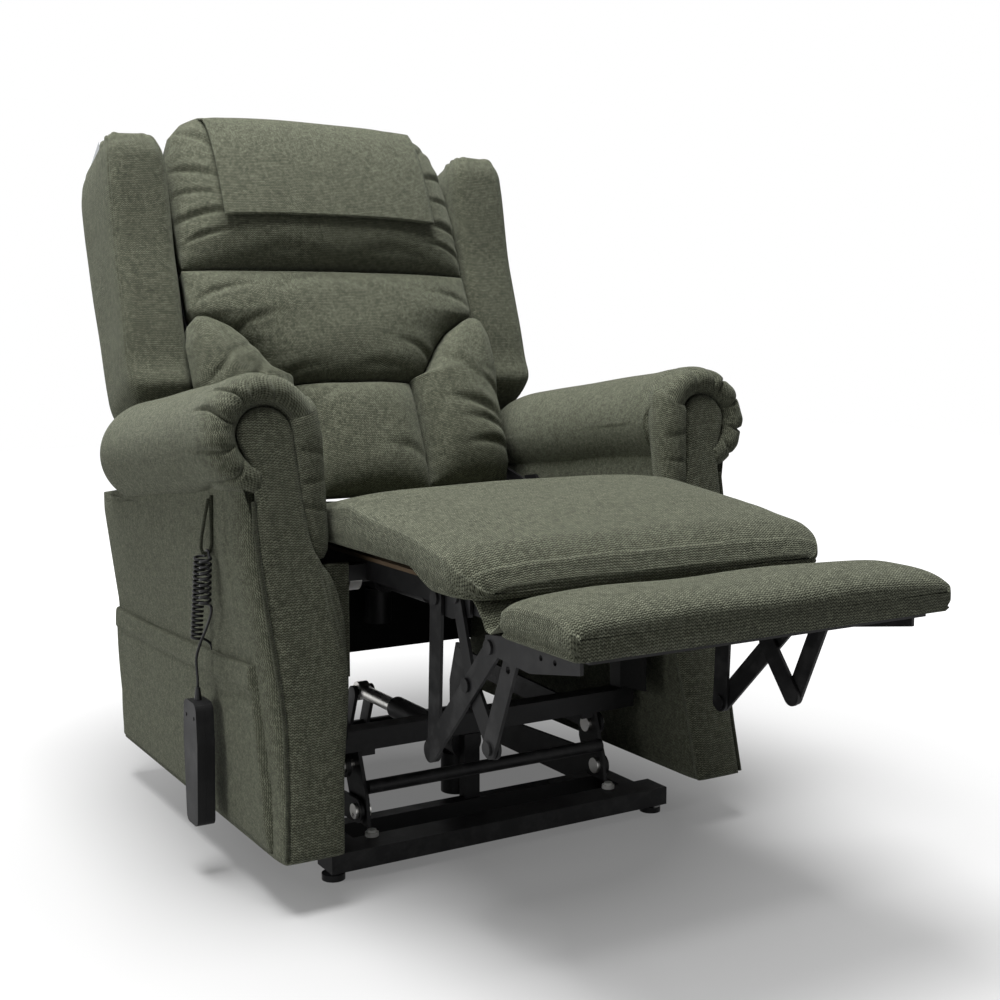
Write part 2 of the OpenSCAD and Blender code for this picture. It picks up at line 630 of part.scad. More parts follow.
// ---- footrest linkage, drawn for +X and mirrored
module front_links() {
    color([0.1, 0.1, 0.105]) place() both() difference() {
        union() {
            side_bar(link_x + layer, bar_t, G2, PX, bar_w - 8);
            side_bar(link_x + layer, bar_t, PX, J2, bar_w);
            pivot_out(1, PX);
            pivot_out(1, J2);
        }
        bore(1, G2);
    }
}
module rear_links() {
    color([0.1, 0.1, 0.105]) place() both() difference() {
        side_bar(link_x + layer, bar_t, G1, J1, bar_w);
        bore(1, G1);
        bore(1, J1, link_play);
    }
}
module upper_links() {
    color([0.1, 0.1, 0.105]) place() both() difference() {
        union() {
            side_bar(link_x + 2 * layer, bar_t, J1, O1, bar_w);
            pivot_in(2, J1, 1.5);
            pivot_out(2, O1);
        }
        bore(2, PX);
    }
}
module lower_links() {
    color([0.1, 0.1, 0.105]) place() both() difference() {
        side_bar(link_x + 2 * layer, bar_t, J2, O2, bar_w - 2);
        bore(2, J2);
        bore(2, O2, link_play);
        bore(2, mix(J2, O2, 0.8));
    }
}
board_y = O2[0] - 28;
board_z = 378;
module footrest_board() {
    x = link_x + 3 * layer;
    color([0.1, 0.1, 0.105]) place() {
        both() difference() {
            union() {
                side_plate(x, bar_t, [[O1[0] + 12, O1[1] - 6], [O1[0] + 8, O1[1] + 12], [O2[0],
                    board_z - 0.2],
                    [board_y - 100, board_z - 0.2], [board_y - 100, board_z - 14], [O2[0] - 40, O2[1] - 16],
                    [O2[0] - 6, O2[1] - 14]]);
                pivot_in(3, O2, 1.5);
            }
            bore(3, O1);
            for (y = [60, 85]) side_rod(x - 1, bar_t + 2, [O2[0] - y, O2[1] + 4], 3);
        }
        box([-x - bar_t, board_y - 116, board_z - 0.2], [x + bar_t, board_y, board_z + 6]);
    }
}
foot_tip = board_y + 3 - foot_depth;
module footrest_cushion() {
    z0 = board_z + 6 + gap;
    color([0.33, 0.34, 0.27]) place() loft([for (t = [0, 0.04, 0.14, 0.32, 0.5, 0.68, 0.86, 0.96, 1])
        let (y = mix(foot_tip, board_y + 3, t), h = foot_t * mix(0.62, 1, swell(t, 3, 0.6)),
            w = foot_half_w - (t == 0 || t == 1 ? 5 : 0))
        concat([[w - 5, y, z0], [-w + 5, y, z0], [-w, y, z0 + h * 0.3], [-w + 1, y, z0 + h * 0.62]],
            [for (i = [1:11]) let (s = -1 + i / 6) [s * (w - 3), y, z0 + h - h * 0.25 * pow(abs(s), 3)]],
            [[w - 1, y, z0 + h * 0.62], [w, y, z0 + h * 0.3]])]);
}
// cloth that bridges the seat and the footrest, folded down while the footrest is up
module bridging_flap() {
    w = seat_half_w - 19;
    pts = [[seat_front + 20, seat_z - gap], [seat_front + 4, 396], [seat_front - 8, 378],
        [seat_front - 20, 380],
        [seat_front - 36, 392]];
    t = 1.6;
    color([0.33, 0.34, 0.27]) place()
        side_plate(-w, 2 * w, concat(pts, [for (i = [len(pts) - 1:-1:0]) pts[i] - [0, t]]));
}

// ---- back, in its own upright frame
module back_frame() {
    color([0.07, 0.07, 0.075]) place() {
        on_back() {
            both() box([back_tube_x, back_tube_y, 22], [back_tube_x + 20, back_tube_y + 20, back_h - 90]);
            for (z = [200, back_h - 110]) box([-back_tube_x, back_tube_y, z], [back_tube_x,
                back_tube_y + 20, z + 20]);
        }
        side_rod(-hinge_in - 2, 2 * hinge_in + 4, back_bar, 8);
        both() difference() {
            union() {
                side_bar(hinge_in, hinge_t, hinge, back_bar, 24);
                side_rod(hinge_in, hinge_x + hinge_t - hinge_in, hinge, 12);
                side_bar(hinge_x, hinge_t, hinge, [hinge[0], hinge[1] - recline_lever], 24);
            }
            side_rod(hinge_x - 2.5, hinge_t + 3.5, hinge, pin_r + 2 + run);
        }
        side_rod(-hinge_x, 2 * hinge_x, [hinge[0], hinge[1] - recline_lever], 10);
    }
}
// the boxed rear of the back in two panels, each through [u, how far its rear face is drawn in]
module outside_back() {
    w = back_half_w - 1;
    y0 = back_tube_y + 20 + gap;
    cut = 13;
    color(arm_green) place() on_back()
        for (rows = [[[70, 6], [90, 0], [206, 0]], [[207, 0], [380, 4], [back_h - 80, 4], [back_h - 50, 26]]])
            loft([for (r = rows) let (y1 = back_depth - r[1])
                [for (p = [[-w, y0], [w, y0], [w, y1 - cut], [w - cut, y1], [-w + cut, y1], [-w, y1 - cut]])
                    [p[0], p[1], r[0]]]]);
}
// a padded shape between side curves x0(t) and x1(t), from z0 to z1, with its bulge
module padded(z0, z1, n, left, right, deep, bulge, p = 2.6) {
    loft([for (i = [0:n]) let (t = i / n)
        crown_ring(read(left, t), read(right, t), min(deep, 8 + 300 * t), bulge * swell(t, p), mix(z0,
            z1, t))]);
}
back_green = [0.24, 0.25, 0.2];
pillow_z = 352;
pillow_side = [[0, back_half_w - 3], [0.4, back_half_w - 1], [0.68, back_half_w - 5], [0.84,
    back_half_w - 16],
    [0.94, back_half_w - 40], [1, back_half_w - 70]];
pillow_bulge = 66;
function mirrored(side) = [for (s = side) [s[0], -s[1]]];
module head_pillow() {
    color(back_green) place() on_back()
        padded(pillow_z, back_h, 16, mirrored(pillow_side), pillow_side, pad_deep, pillow_bulge, 2.4);
}
// a cloth from its front hem up over the pillow and a little way down behind: each point [n, u]
// with its outward side
cover_half = 182;
cover_t = 2.4;
cover_path = concat(
    [for (i = [0:9]) let (u = mix(418, back_h - 12, i / 9))
        [-pillow_bulge * swell((u - pillow_z) / (back_h - pillow_z), 2.4) - 3, u, -1, 0]],
    [[-8, back_h + 1.2, -0.6, 0.8], [30, back_h + gap, 0, 1], [58, back_h - 1, 0.2, 0.98]]);
function cover_point(q, s, out) = let (drop = pow(1 - pow(abs(s) * 0.72, 2.6), 0.6))
    [s * cover_half, min(q[0], 0) * drop + max(q[0], 0) + out * q[2], q[1] + out * q[3]];
module head_cover() {
    n = len(cover_path) - 1;
    color(back_green) place() on_back() loft([for (i = [0:12]) let (s = -1 + i / 6) concat(
        [for (q = cover_path) cover_point(q, s, 0)],
        [for (k = [n:-1:0]) cover_point(cover_path[k], s, cover_t)])], strip = true);
}
bolster_z = [158, 349];
bolster_side = [[0, 98], [0.04, 118], [0.07, 130], [0.19, 146], [0.3, 160], [0.43, 183], [0.54, 216],
    [0.6, 240],
    [0.66, back_half_w - 2], [1, back_half_w - 2]];
module upper_bolster() {
    color(back_green) place() on_back()
        padded(bolster_z[0], bolster_z[1], 14, mirrored(bolster_side), bolster_side, pad_deep, 42, 3);
}
panel_half = 98;
panel_foot = -18;
module lower_centre_panel() {
    side = [[0, panel_half], [1, panel_half + 4]];
    color(back_green) place() on_back()
        padded(panel_foot, bolster_z[0] - 2, 10, mirrored(side), side, pad_deep, 46, 3.2);
}
// the inner edge follows the centre panel, then the upper bolster's slanted side
module side_bolsters() {
    low = [[0, panel_half + 1.5], [1, panel_half + 5]];
    h = bolster_z[1] - bolster_z[0];
    rows = concat([for (t = [0, 0.16, 0.4, 0.65, 0.88, 1]) [mix(panel_foot, bolster_z[0] - 1, t),
        read(low, t)]],
        [for (i = [1:8]) [bolster_z[0] + h * i / 14, read(bolster_side, i / 14) + 2]]);
    top = rows[len(rows) - 1][0];
    outer = [[0, back_half_w - 10], [0.08, back_half_w - 2], [0.9, back_half_w - 1], [1, back_half_w - 4]];
    color(back_green) place() on_back() both() loft([for (r = rows)
        let (t = (r[0] - panel_foot) / (top - panel_foot))
        crown_ring(r[1], read(outer, t), min(pad_deep, 8 + 300 * t), 58 * swell(t, 3.2), r[0])]);
}
// a wing: [u, front edge, rear edge, width] up the slope; it widens towards the arm
wing_rows = [[112, 118, 146, 40], [132, 62, 150, 78], [158, 14, 150, 98], [176, 8, 150, 104], [200, 12,
    150, 104],
    [262, 0, 150, 101], [380, -16, 150, 97], [470, -38, 150, 93], [530, -52, 142, 90], [560, -44, 130, 88],
    [578, -10, 98, 76]];
wing_corner = 0.42;              // 1 makes an elliptic section, 0 a square one
wing_x = back_half_w - 0.5;
function pow_s(v, p) = sign(v) * pow(abs(v), p);
module wing() {
    loft([for (r = wing_rows)
        let (w = r[3] - 88 + wing_t, c = [wing_x + w / 2, (r[1] + r[2]) / 2], h = [w, r[2] - r[1]] / 2)
        [for (a = [0:15:345])
            [c[0] + h[0] * pow_s(cos(a), wing_corner), c[1] + h[1] * pow_s(sin(a), wing_corner), r[0]]]]);
}
module wing_left() { color(back_green) place() on_back() mirror([1, 0, 0]) wing(); }
module wing_right() { color(back_green) place() on_back() wing(); }
module swing_tag() {
    color([0.95, 0.95, 0.95]) place() on_back()
        translate([-wing_x - wing_t - 1.3 - gap - 1, 8, 572]) rotate([-98, 0, 0]) cube([1, 26, 98]);
}

base_frame();
levelling_feet();
bump_stops();
lift_motor();
lift_motor_rod();
lower_lift_arms();
upper_lift_arms();
chassis_frame();
lift_pivot_bolts();
control_box();
legrest_motor();
recline_motor();
recline_rod();
dust_lining();
front_fillers();
arm_left_body();
arm_left_roll();
arm_left_ring();
arm_left_front();
arm_right_body();
arm_right_roll();
arm_right_ring();
arm_right_front();
side_pocket();
cord_loop();
handset_front();
handset_back();
handset_screws();
button_recline_up();
button_recline_down();
button_lift_up();
button_lift_down();
strain_relief();
cord_plain();
cord_curls();
seat_frame();
seat_runners();
seat_springs();
seat_cushion();
legrest_motor_rod();
front_links();
rear_links();
upper_links();
lower_links();
footrest_board();
footrest_cushion();
bridging_flap();
back_frame();
outside_back();
head_pillow();
head_cover();
upper_bolster();
lower_centre_panel();
side_bolsters();
wing_left();
wing_right();
swing_tag();
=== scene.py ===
"""Dresses the lift recliner chair: upholstery, steelwork, handset and its cord, then light and camera."""
import bpy
import math
import numpy as np
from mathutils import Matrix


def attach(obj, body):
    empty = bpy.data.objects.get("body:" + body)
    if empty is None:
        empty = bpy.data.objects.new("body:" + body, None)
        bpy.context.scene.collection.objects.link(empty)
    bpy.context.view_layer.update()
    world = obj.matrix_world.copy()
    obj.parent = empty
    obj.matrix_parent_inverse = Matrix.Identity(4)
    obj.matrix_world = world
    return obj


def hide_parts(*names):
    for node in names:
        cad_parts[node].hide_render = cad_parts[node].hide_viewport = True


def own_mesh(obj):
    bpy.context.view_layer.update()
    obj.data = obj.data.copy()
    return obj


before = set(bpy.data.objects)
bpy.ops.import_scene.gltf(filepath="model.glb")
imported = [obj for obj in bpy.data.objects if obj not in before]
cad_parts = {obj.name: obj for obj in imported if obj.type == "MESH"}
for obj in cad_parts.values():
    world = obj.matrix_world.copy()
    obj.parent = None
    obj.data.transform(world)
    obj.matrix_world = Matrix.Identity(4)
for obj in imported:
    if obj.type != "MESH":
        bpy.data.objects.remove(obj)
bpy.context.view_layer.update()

MM = 1000.0                             # millimetres in a metre
ORIGIN_Y = 192.7                        # the row's origin lies this far behind the arms' foot, mm
RECLINE = math.radians(25)              # the back's slope from upright
BACK_FOOT = np.array([477.0, 464.0])    # y and z of the slope's foot, mm
TURN = 2 * np.pi


# ---------------------------------------------------------------- placing
def row_frame(p):
    """Chair millimetres to the row frame in metres: y loses the origin's offset, then all is divided by MM."""
    return (np.asarray(p, float) - [0, ORIGIN_Y, 0]) / MM


def up_slope(p):
    """Back coordinates (x, depth n, height u) turned by the recline about X and moved to the back's foot."""
    p = np.asarray(p, float)
    n, u = p[..., 1], p[..., 2]
    return np.stack([p[..., 0], BACK_FOOT[0] + n * math.cos(RECLINE) + u * math.sin(RECLINE),
                     BACK_FOOT[1] - n * math.sin(RECLINE) + u * math.cos(RECLINE)], -1)


def smooth(t):
    """0 to 1 with flat ends: t * t * (3 - 2 t), clipped."""
    t = np.clip(t, 0, 1)
    return t * t * (3 - 2 * t)


def swell(t, p=2.4, q=0.5):
    """(1 - |2t - 1| ** p) ** q: 0 at both ends and 1 in the middle."""
    return np.clip(1 - np.abs(2 * np.clip(t, 0, 1) - 1) ** p, 0, 1) ** q


def crown(s, p=2.6, q=0.6):
    """(1 - |s| ** p) ** q across a pad from s = -1 to 1."""
    return np.clip(1 - np.abs(np.clip(s, -1, 1)) ** p, 0, 1) ** q


def ripple(a, b, seed):
    """The mean of five sine waves of a and b with fixed directions, about -1 to 1: soft hollows in cloth."""
    r = np.random.default_rng(seed)
    total = np.zeros(np.broadcast(a, b).shape)
    for _ in range(5):
        f, g, ph = r.uniform(0.5, 2.4), r.uniform(-2.4, 2.4), r.uniform(0, 6.28)
        total = total + np.sin(6.28 * (f * a + g * b) + ph)
    return total / 5


# ---------------------------------------------------------------- meshes
def mesh_piece(name, verts, faces, uv, body, material):
    """Makes one smooth object at the origin from points, faces and a UV map, and sets its body, slot and finish."""
    me = bpy.data.meshes.new(name)
    me.from_pydata(verts.reshape(-1, 3).tolist(), [], faces)
    layer = me.uv_layers.new(name="cloth")
    layer.data.foreach_set("uv", np.asarray(uv, np.float32).ravel())
    me.polygons.foreach_set("use_smooth", [True] * len(me.polygons))
    me.update()
    ob = bpy.data.objects.new(name, me)
    bpy.context.scene.collection.objects.link(ob)
    ob.data.materials.append(material)
    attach(ob, body)
    return ob


def lengths(p, axis, start):
    """Distance along each row or column of a grid, counted from its start-th point."""
    d = np.linalg.norm(np.diff(p, axis=axis), axis=-1)
    d = np.concatenate([np.zeros_like(np.take(d, [0], axis)), np.cumsum(d, axis)], axis)
    return d - np.take(d, [start], axis)


def surface(name, p, body, material, wrap=True):
    """A grid of points (rows, columns) made a mesh: quads between neighbours and, when wrap, closed columns and a fan
    to the middle of each end row. The UV map is the length along each row from its middle column, and along each
    column from the middle row, in metres; a fan's is its own plane."""
    p = np.asarray(p, float)
    r, c = p.shape[:2]
    ring = np.concatenate([p, p[:, :1]], 1) if wrap else p
    n = ring.shape[1]
    i, j = (a.ravel() for a in np.meshgrid(np.arange(r - 1), np.arange(n - 1), indexing="ij"))
    corner = lambda di, dj: (i + di, j + dj)
    order = [corner(0, 0), corner(0, 1), corner(1, 1), corner(1, 0)]
    quads = np.stack([a * c + b % c for a, b in order], -1)
    flat = np.stack([lengths(ring, 1, n // 2), lengths(ring, 0, r // 2)], -1)
    uv = np.stack([flat[a, b] for a, b in order], 1).reshape(-1, 2)
    verts, faces = p.reshape(-1, 3), quads.tolist()
    if wrap:
        mid = np.stack([p[0].mean(0), p[-1].mean(0)])
        verts = np.concatenate([verts, mid])
        jj = np.arange(c)
        kk = (jj + 1) % c
        for k, row, (a, b) in ((0, 0, (kk, jj)), (1, r - 1, (jj, kk))):
            rim = p[row]
            normal = np.cross(rim - mid[k], np.roll(rim, -1, 0) - mid[k]).sum(0)
            normal /= np.linalg.norm(normal) + 1e-12
            e1 = np.cross([0, 0, 1.0] if abs(normal[2]) < 0.9 else [0, 1.0, 0], normal)
            e1 /= np.linalg.norm(e1)
            plane = np.stack([e1, np.cross(normal, e1)], 1)
            faces += np.stack([row * c + a, row * c + b, np.full(c, r * c + k)], -1).tolist()
            fan = np.stack([rim[a] @ plane, rim[b] @ plane, np.tile(mid[k] @ plane, (c, 1))], 1)
            uv = np.concatenate([uv, fan.reshape(-1, 2)])
    ob = mesh_piece(name, verts, faces, uv, body, material)
    turn_out(ob)
    return ob


def turn_out(ob):
    """Turns the faces so that they point outwards, by the sign of the mesh's volume."""
    me = ob.data
    me.calc_loop_triangles()
    co = np.empty(len(me.vertices) * 3, np.float32)
    me.vertices.foreach_get("co", co)
    co = co.reshape(-1, 3).astype(float)
    co = co - co.mean(0)
    t = np.empty(len(me.loop_triangles) * 3, np.int32)
    me.loop_triangles.foreach_get("vertices", t)
    t = co[t.reshape(-1, 3)]
    if np.einsum("ij,ij->i", t[:, 0], np.cross(t[:, 1], t[:, 2])).sum() < 0:
        me.flip_normals()


def along(path, steps=None):
    """Path points, their unit tangents, and two unit sides that turn as little as possible along the path."""
    path = np.asarray(path, float)
    if steps:
        d = np.concatenate([[0], np.cumsum(np.linalg.norm(np.diff(path, axis=0), axis=1))])
        s = np.linspace(0, d[-1], steps)
        path = np.stack([np.interp(s, d, path[:, k]) for k in range(3)], 1)
    t = np.gradient(path, axis=0)
    t /= np.linalg.norm(t, axis=1, keepdims=True)
    side = np.empty_like(path)
    s = np.cross(t[0], [0, 0, 1.0])
    if np.linalg.norm(s) < 1e-3:
        s = np.cross(t[0], [0, 1.0, 0])
    for i in range(len(path)):
        s = s - t[i] * (s @ t[i])
        s /= np.linalg.norm(s)
        side[i] = s
    return path, t, side, np.cross(t, side)


def tube(name, path, radius, body, material, sides=8, steps=None):
    """A round tube: each path point plus radius * (cos b * side + sin b * up), closed at both ends."""
    path, t, a, b = along(path, steps)
    ang = np.linspace(0, TURN, sides, endpoint=False)[None, :, None]
    skin = path[:, None] + radius * (np.cos(ang) * a[:, None] + np.sin(ang) * b[:, None])
    return surface(name, skin, body, material)


def thicken(ob, metres):
    """Gives a sheet its thickness, inwards from its face."""
    ob.modifiers.new("thickness", "SOLIDIFY").thickness = metres


# ---------------------------------------------------------------- materials
def new_group(name, inputs, outputs):
    """A shader node group with named inputs (label, kind, default) and outputs (label, kind)."""
    g = bpy.data.node_groups.new(name, "ShaderNodeTree")
    for label, kind, default in inputs:
        s = g.interface.new_socket(label, in_out="INPUT", socket_type=kind)
        if default is not None:
            s.default_value = default
    for label, kind in outputs:
        g.interface.new_socket(label, in_out="OUTPUT", socket_type=kind)
    return g, g.nodes.new("NodeGroupInput"), g.nodes.new("NodeGroupOutput")


class Wires:
    """Short ways to add shader nodes and link them."""

    def __init__(self, tree):
        self.t = tree

    def node(self, kind, **props):
        n = self.t.nodes.new(kind)
        for k, v in props.items():
            setattr(n, k, v)
        return n

    def link(self, a, b):
        self.t.links.new(a, b)

    def put(self, value, socket):
        if isinstance(value, bpy.types.NodeSocket):
            self.link(value, socket)
        else:
            socket.default_value = value

    def maths(self, op, a, b=None, c=None, clamp=False):
        n = self.node("ShaderNodeMath", operation=op, use_clamp=clamp)
        for v, s in zip((a, b, c), n.inputs):
            if v is not None:
                self.put(v, s)
        return n.outputs[0]

    def mix(self, f, a, b):
        n = self.node("ShaderNodeMix", data_type="RGBA")
        self.put(f, n.inputs[0])
        self.put(a, n.inputs[6])
        self.put(b, n.inputs[7])
        return n.outputs[2]

    def noise(self, vector, scale, detail=3.0, rough=0.55):
        n = self.node("ShaderNodeTexNoise")
        self.link(vector, n.inputs["Vector"])
        n.inputs["Scale"].default_value = scale
        n.inputs["Detail"].default_value = detail
        n.inputs["Roughness"].default_value = rough
        return n.outputs["Fac"]

    def ramp(self, value, lo, hi, a=0.0, b=1.0):
        n = self.node("ShaderNodeMapRange")
        self.put(value, n.inputs[0])
        for k, v in zip((1, 2, 3, 4), (lo, hi, a, b)):
            n.inputs[k].default_value = v
        return n.outputs[0]


def weave_group():
    """Fine zig-zag weave. The height in the cloth is raised by a triangle wave along the row; rows are round ridges
    in that raised height, and each half wave is one yarn with its own tone. A slow noise bends the rows."""
    g, gi, go = new_group("zigzag_weave", [("Place", "NodeSocketVector", None),
                                           ("Waves per metre", "NodeSocketFloat", 230.0),
                                           ("Rows per metre", "NodeSocketFloat", 400.0)],
                          [("Height", "NodeSocketFloat"), ("Tone", "NodeSocketFloat")])
    w = Wires(g)
    sep = w.node("ShaderNodeSeparateXYZ")
    w.link(gi.outputs["Place"], sep.inputs[0])
    wob = w.ramp(w.noise(gi.outputs["Place"], 22, 2), 0.0, 1.0, -1.1, 1.1)
    u = w.maths("MULTIPLY_ADD", sep.outputs[0], gi.outputs["Waves per metre"], wob)
    zig = w.maths("ABSOLUTE", w.maths("MULTIPLY_ADD", w.maths("FRACT", u), 2.0, -1.0))
    v = w.maths("MULTIPLY_ADD", zig, 0.6, w.maths("MULTIPLY_ADD", sep.outputs[1], gi.outputs["Rows per metre"], wob))
    across = w.maths("ABSOLUTE", w.maths("MULTIPLY_ADD", w.maths("FRACT", v), 2.0, -1.0))
    half = w.maths("MULTIPLY", u, 2.0)
    end = w.maths("ABSOLUTE", w.maths("MULTIPLY_ADD", w.maths("FRACT", half), 2.0, -1.0))
    ridge = w.maths("SUBTRACT", 1.0, w.maths("POWER", across, 1.8))
    h = w.maths("MULTIPLY", ridge, w.maths("MULTIPLY_ADD", w.maths("POWER", end, 4.0), -0.45, 1.0))
    key = w.node("ShaderNodeCombineXYZ")
    w.link(w.maths("FLOOR", half), key.inputs[0])
    w.link(w.maths("FLOOR", v), key.inputs[1])
    white = w.node("ShaderNodeTexWhiteNoise", noise_dimensions="2D")
    w.link(key.outputs[0], white.inputs["Vector"])
    w.link(h, go.inputs["Height"])
    w.link(white.outputs["Value"], go.inputs["Tone"])
    return g


def wear_group():
    """A mask that is 1 on rubbed raised edges and in scattered scuffs, from pointiness and two noises."""
    g, gi, go = new_group("rubbed_edges", [("Place", "NodeSocketVector", None), ("Edge", "NodeSocketFloat", 0.5),
                                          ("Scuff size", "NodeSocketFloat", 40.0)],
                          [("Mask", "NodeSocketFloat"), ("Mottle", "NodeSocketFloat")])
    w = Wires(g)
    geo = w.node("ShaderNodeNewGeometry")
    edge = w.ramp(geo.outputs["Pointiness"], 0.52, 0.62)
    n = w.node("ShaderNodeTexNoise")
    w.link(gi.outputs["Place"], n.inputs["Vector"])
    w.link(gi.outputs["Scuff size"], n.inputs["Scale"])
    n.inputs["Detail"].default_value = 6
    patch = w.ramp(n.outputs["Fac"], 0.45, 0.7)
    m = w.maths("MULTIPLY", w.maths("MULTIPLY", edge, patch), gi.outputs["Edge"], clamp=True)
    w.link(m, go.inputs["Mask"])
    w.link(n.outputs["Fac"], go.inputs["Mottle"])
    return g


WEAVE = weave_group()
WEAR = wear_group()


def material(name):
    """A new material, the wires of its tree and its shader."""
    m = bpy.data.materials.new(name)
    m.use_nodes = True
    return m, Wires(m.node_tree), m.node_tree.nodes["Principled BSDF"]


def upholstery(name, light=(0.20, 0.21, 0.15), hollow_shade=(0.014, 0.015, 0.009), waves=240.0, rows=345.0, bump=0.0009):
    """Chenille: paler yarns of many tones, flecks and blotches over a near-black painted shade in the hollows between
    them, and a soft sheen.
    """
    m, w, p = material(name)
    uv = w.node("ShaderNodeUVMap", uv_map="cloth")
    g = w.node("ShaderNodeGroup", node_tree=WEAVE)
    w.link(uv.outputs[0], g.inputs["Place"])
    g.inputs["Waves per metre"].default_value = waves
    g.inputs["Rows per metre"].default_value = rows
    tc = w.node("ShaderNodeTexCoord")
    cast = w.noise(tc.outputs["Object"], 9.0, 4.0)
    blotch = w.noise(tc.outputs["Object"], 130.0, 3.0, 0.7)
    fuzz = w.noise(tc.outputs["Object"], 1100.0, 2.0)
    # painted shade: the colour falls to the hollow colour down the sides of each yarn ridge and towards its ends, by
    # the weave's height
    yarn = w.maths("MULTIPLY", w.ramp(g.outputs["Height"], 0.25, 0.95),
                   w.ramp(g.outputs["Tone"], 0.0, 1.0, 0.5, 1.15))
    yarn = w.maths("MULTIPLY", yarn, w.ramp(blotch, 0.32, 0.7, 0.55, 1.3))
    yarn = w.maths("MULTIPLY", yarn, w.ramp(fuzz, 0.25, 0.7, 0.75, 1.15), clamp=True)
    col = w.mix(yarn, (*hollow_shade, 1), (*light, 1))
    col = w.mix(w.ramp(cast, 0.35, 0.75, 0.0, 0.18), col, (*[0.45 * c for c in light], 1))
    w.link(col, p.inputs["Base Color"])
    w.link(w.ramp(yarn, 0, 1, 0.97, 0.86), p.inputs["Roughness"])
    b = w.node("ShaderNodeBump")
    b.inputs["Strength"].default_value = 0.8
    b.inputs["Distance"].default_value = bump
    w.link(w.maths("ADD", g.outputs["Height"], w.maths("MULTIPLY", blotch, 0.8)), b.inputs["Height"])
    w.link(b.outputs[0], p.inputs["Normal"])
    p.inputs["Sheen Weight"].default_value = 0.22
    p.inputs["Sheen Roughness"].default_value = 0.5
    p.inputs["Sheen Tint"].default_value = (0.72, 0.76, 0.62, 1)
    p.inputs["Specular IOR Level"].default_value = 0.12
    return m


def coated(name, colour, rough, worn, metal=0.0, edge=0.5, size=40.0, grain=0.0):
    """Paint, zinc, rubber or moulded plastic: mottled roughness, rubbed edges and, if grain is set, a fine texture."""
    m, w, p = material(name)
    tc = w.node("ShaderNodeTexCoord")
    g = w.node("ShaderNodeGroup", node_tree=WEAR)
    w.link(tc.outputs["Object"], g.inputs["Place"])
    g.inputs["Edge"].default_value = edge
    g.inputs["Scuff size"].default_value = size
    dust = (*[c * 0.6 + 0.02 for c in colour], 1)
    dusty = w.mix(w.ramp(g.outputs["Mottle"], 0.35, 0.75, 0.0, 0.25), (*colour, 1), dust)
    w.link(w.mix(g.outputs["Mask"], dusty, (*worn, 1)), p.inputs["Base Color"])
    w.link(w.ramp(g.outputs["Mottle"], 0.3, 0.8, rough - 0.08, rough + 0.12), p.inputs["Roughness"])
    p.inputs["Metallic"].default_value = metal
    p.inputs["Specular IOR Level"].default_value = 0.5 if metal else 0.18
    fine = w.noise(tc.outputs["Object"], 1400.0 if grain else 260.0, 2.0)
    b = w.node("ShaderNodeBump")
    b.inputs["Strength"].default_value = 0.35 if grain else 0.12
    b.inputs["Distance"].default_value = max(grain, 0.0002)
    w.link(fine, b.inputs["Height"])
    w.link(b.outputs[0], p.inputs["Normal"])
    return m


CLOTH = upholstery("olive_zigzag_cloth")
CLOTH_COARSE = upholstery("olive_zigzag_cloth_coarse", waves=215.0, rows=310.0, bump=0.0011)
CLOTH_BACK = upholstery("olive_zigzag_cloth_soft", waves=255.0, rows=370.0, bump=0.0007)
PIPING = upholstery("seam_cloth", light=(0.09, 0.095, 0.066), hollow_shade=(0.01, 0.011, 0.007), waves=280.0)
STEEL = coated("black_powder_coat", (0.006, 0.006, 0.0065), 0.5, (0.05, 0.05, 0.05), 0.0, 0.5)
ZINC = coated("zinc_plate", (0.62, 0.61, 0.58), 0.34, (0.8, 0.8, 0.8), 1.0, 0.4, 120)
SPRING = coated("spring_steel", (0.35, 0.35, 0.36), 0.45, (0.6, 0.6, 0.6), 1.0, 0.4, 90)
NYLON = coated("white_nylon", (0.82, 0.82, 0.79), 0.38, (0.9, 0.9, 0.88), 0.0, 0.2, 60)
PLASTIC = coated("handset_shell", (0.006, 0.006, 0.0065), 0.55, (0.03, 0.03, 0.03), 0.0, 0.4, 30, 0.00018)
MOTOR = coated("motor_housing", (0.018, 0.018, 0.019), 0.48, (0.06, 0.06, 0.06), 0.0, 0.4, 25, 0.00025)
RUBBER = coated("cord_rubber", (0.012, 0.012, 0.013), 0.36, (0.04, 0.04, 0.04), 0.0, 0.2, 80)
KEYS = coated("key_rubber", (0.11, 0.11, 0.115), 0.55, (0.2, 0.2, 0.2), 0.0, 0.3, 50, 0.0001)
LINING = coated("black_lining", (0.010, 0.010, 0.010), 0.9, (0.03, 0.03, 0.03), 0.0, 0.2, 200, 0.0004)
WOOD = coated("runner_wood", (0.08, 0.055, 0.032), 0.6, (0.14, 0.10, 0.07), 0.0, 0.5, 18, 0.0004)
CARD = coated("blank_card", (0.52, 0.54, 0.56), 0.6, (0.85, 0.85, 0.85), 0.0, 0.2, 20)

for nodes, mat in [
    (("base_frame", "lower_lift_arms", "upper_lift_arms", "chassis_frame", "seat_frame", "front_links", "rear_links",
      "upper_links", "lower_links", "back_frame", "footrest_board"), STEEL),
    (("lift_pivot_bolts", "lift_motor_rod", "recline_rod", "legrest_motor_rod"), ZINC), (("seat_springs",), SPRING),
    (("levelling_feet",), RUBBER), (("bump_stops",), NYLON),
    (("lift_motor", "legrest_motor", "recline_motor", "control_box"), MOTOR), (("dust_lining",), LINING),
    (("seat_runners",), WOOD), (("handset_front", "handset_back", "handset_screws"), PLASTIC),
    (("button_recline_up", "button_recline_down", "button_lift_up", "button_lift_down"), KEYS),
    (("strain_relief",), RUBBER), (("swing_tag",), CARD)]:
    for n in nodes:
        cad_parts[n].data.materials.clear()
        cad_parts[n].data.materials.append(mat)

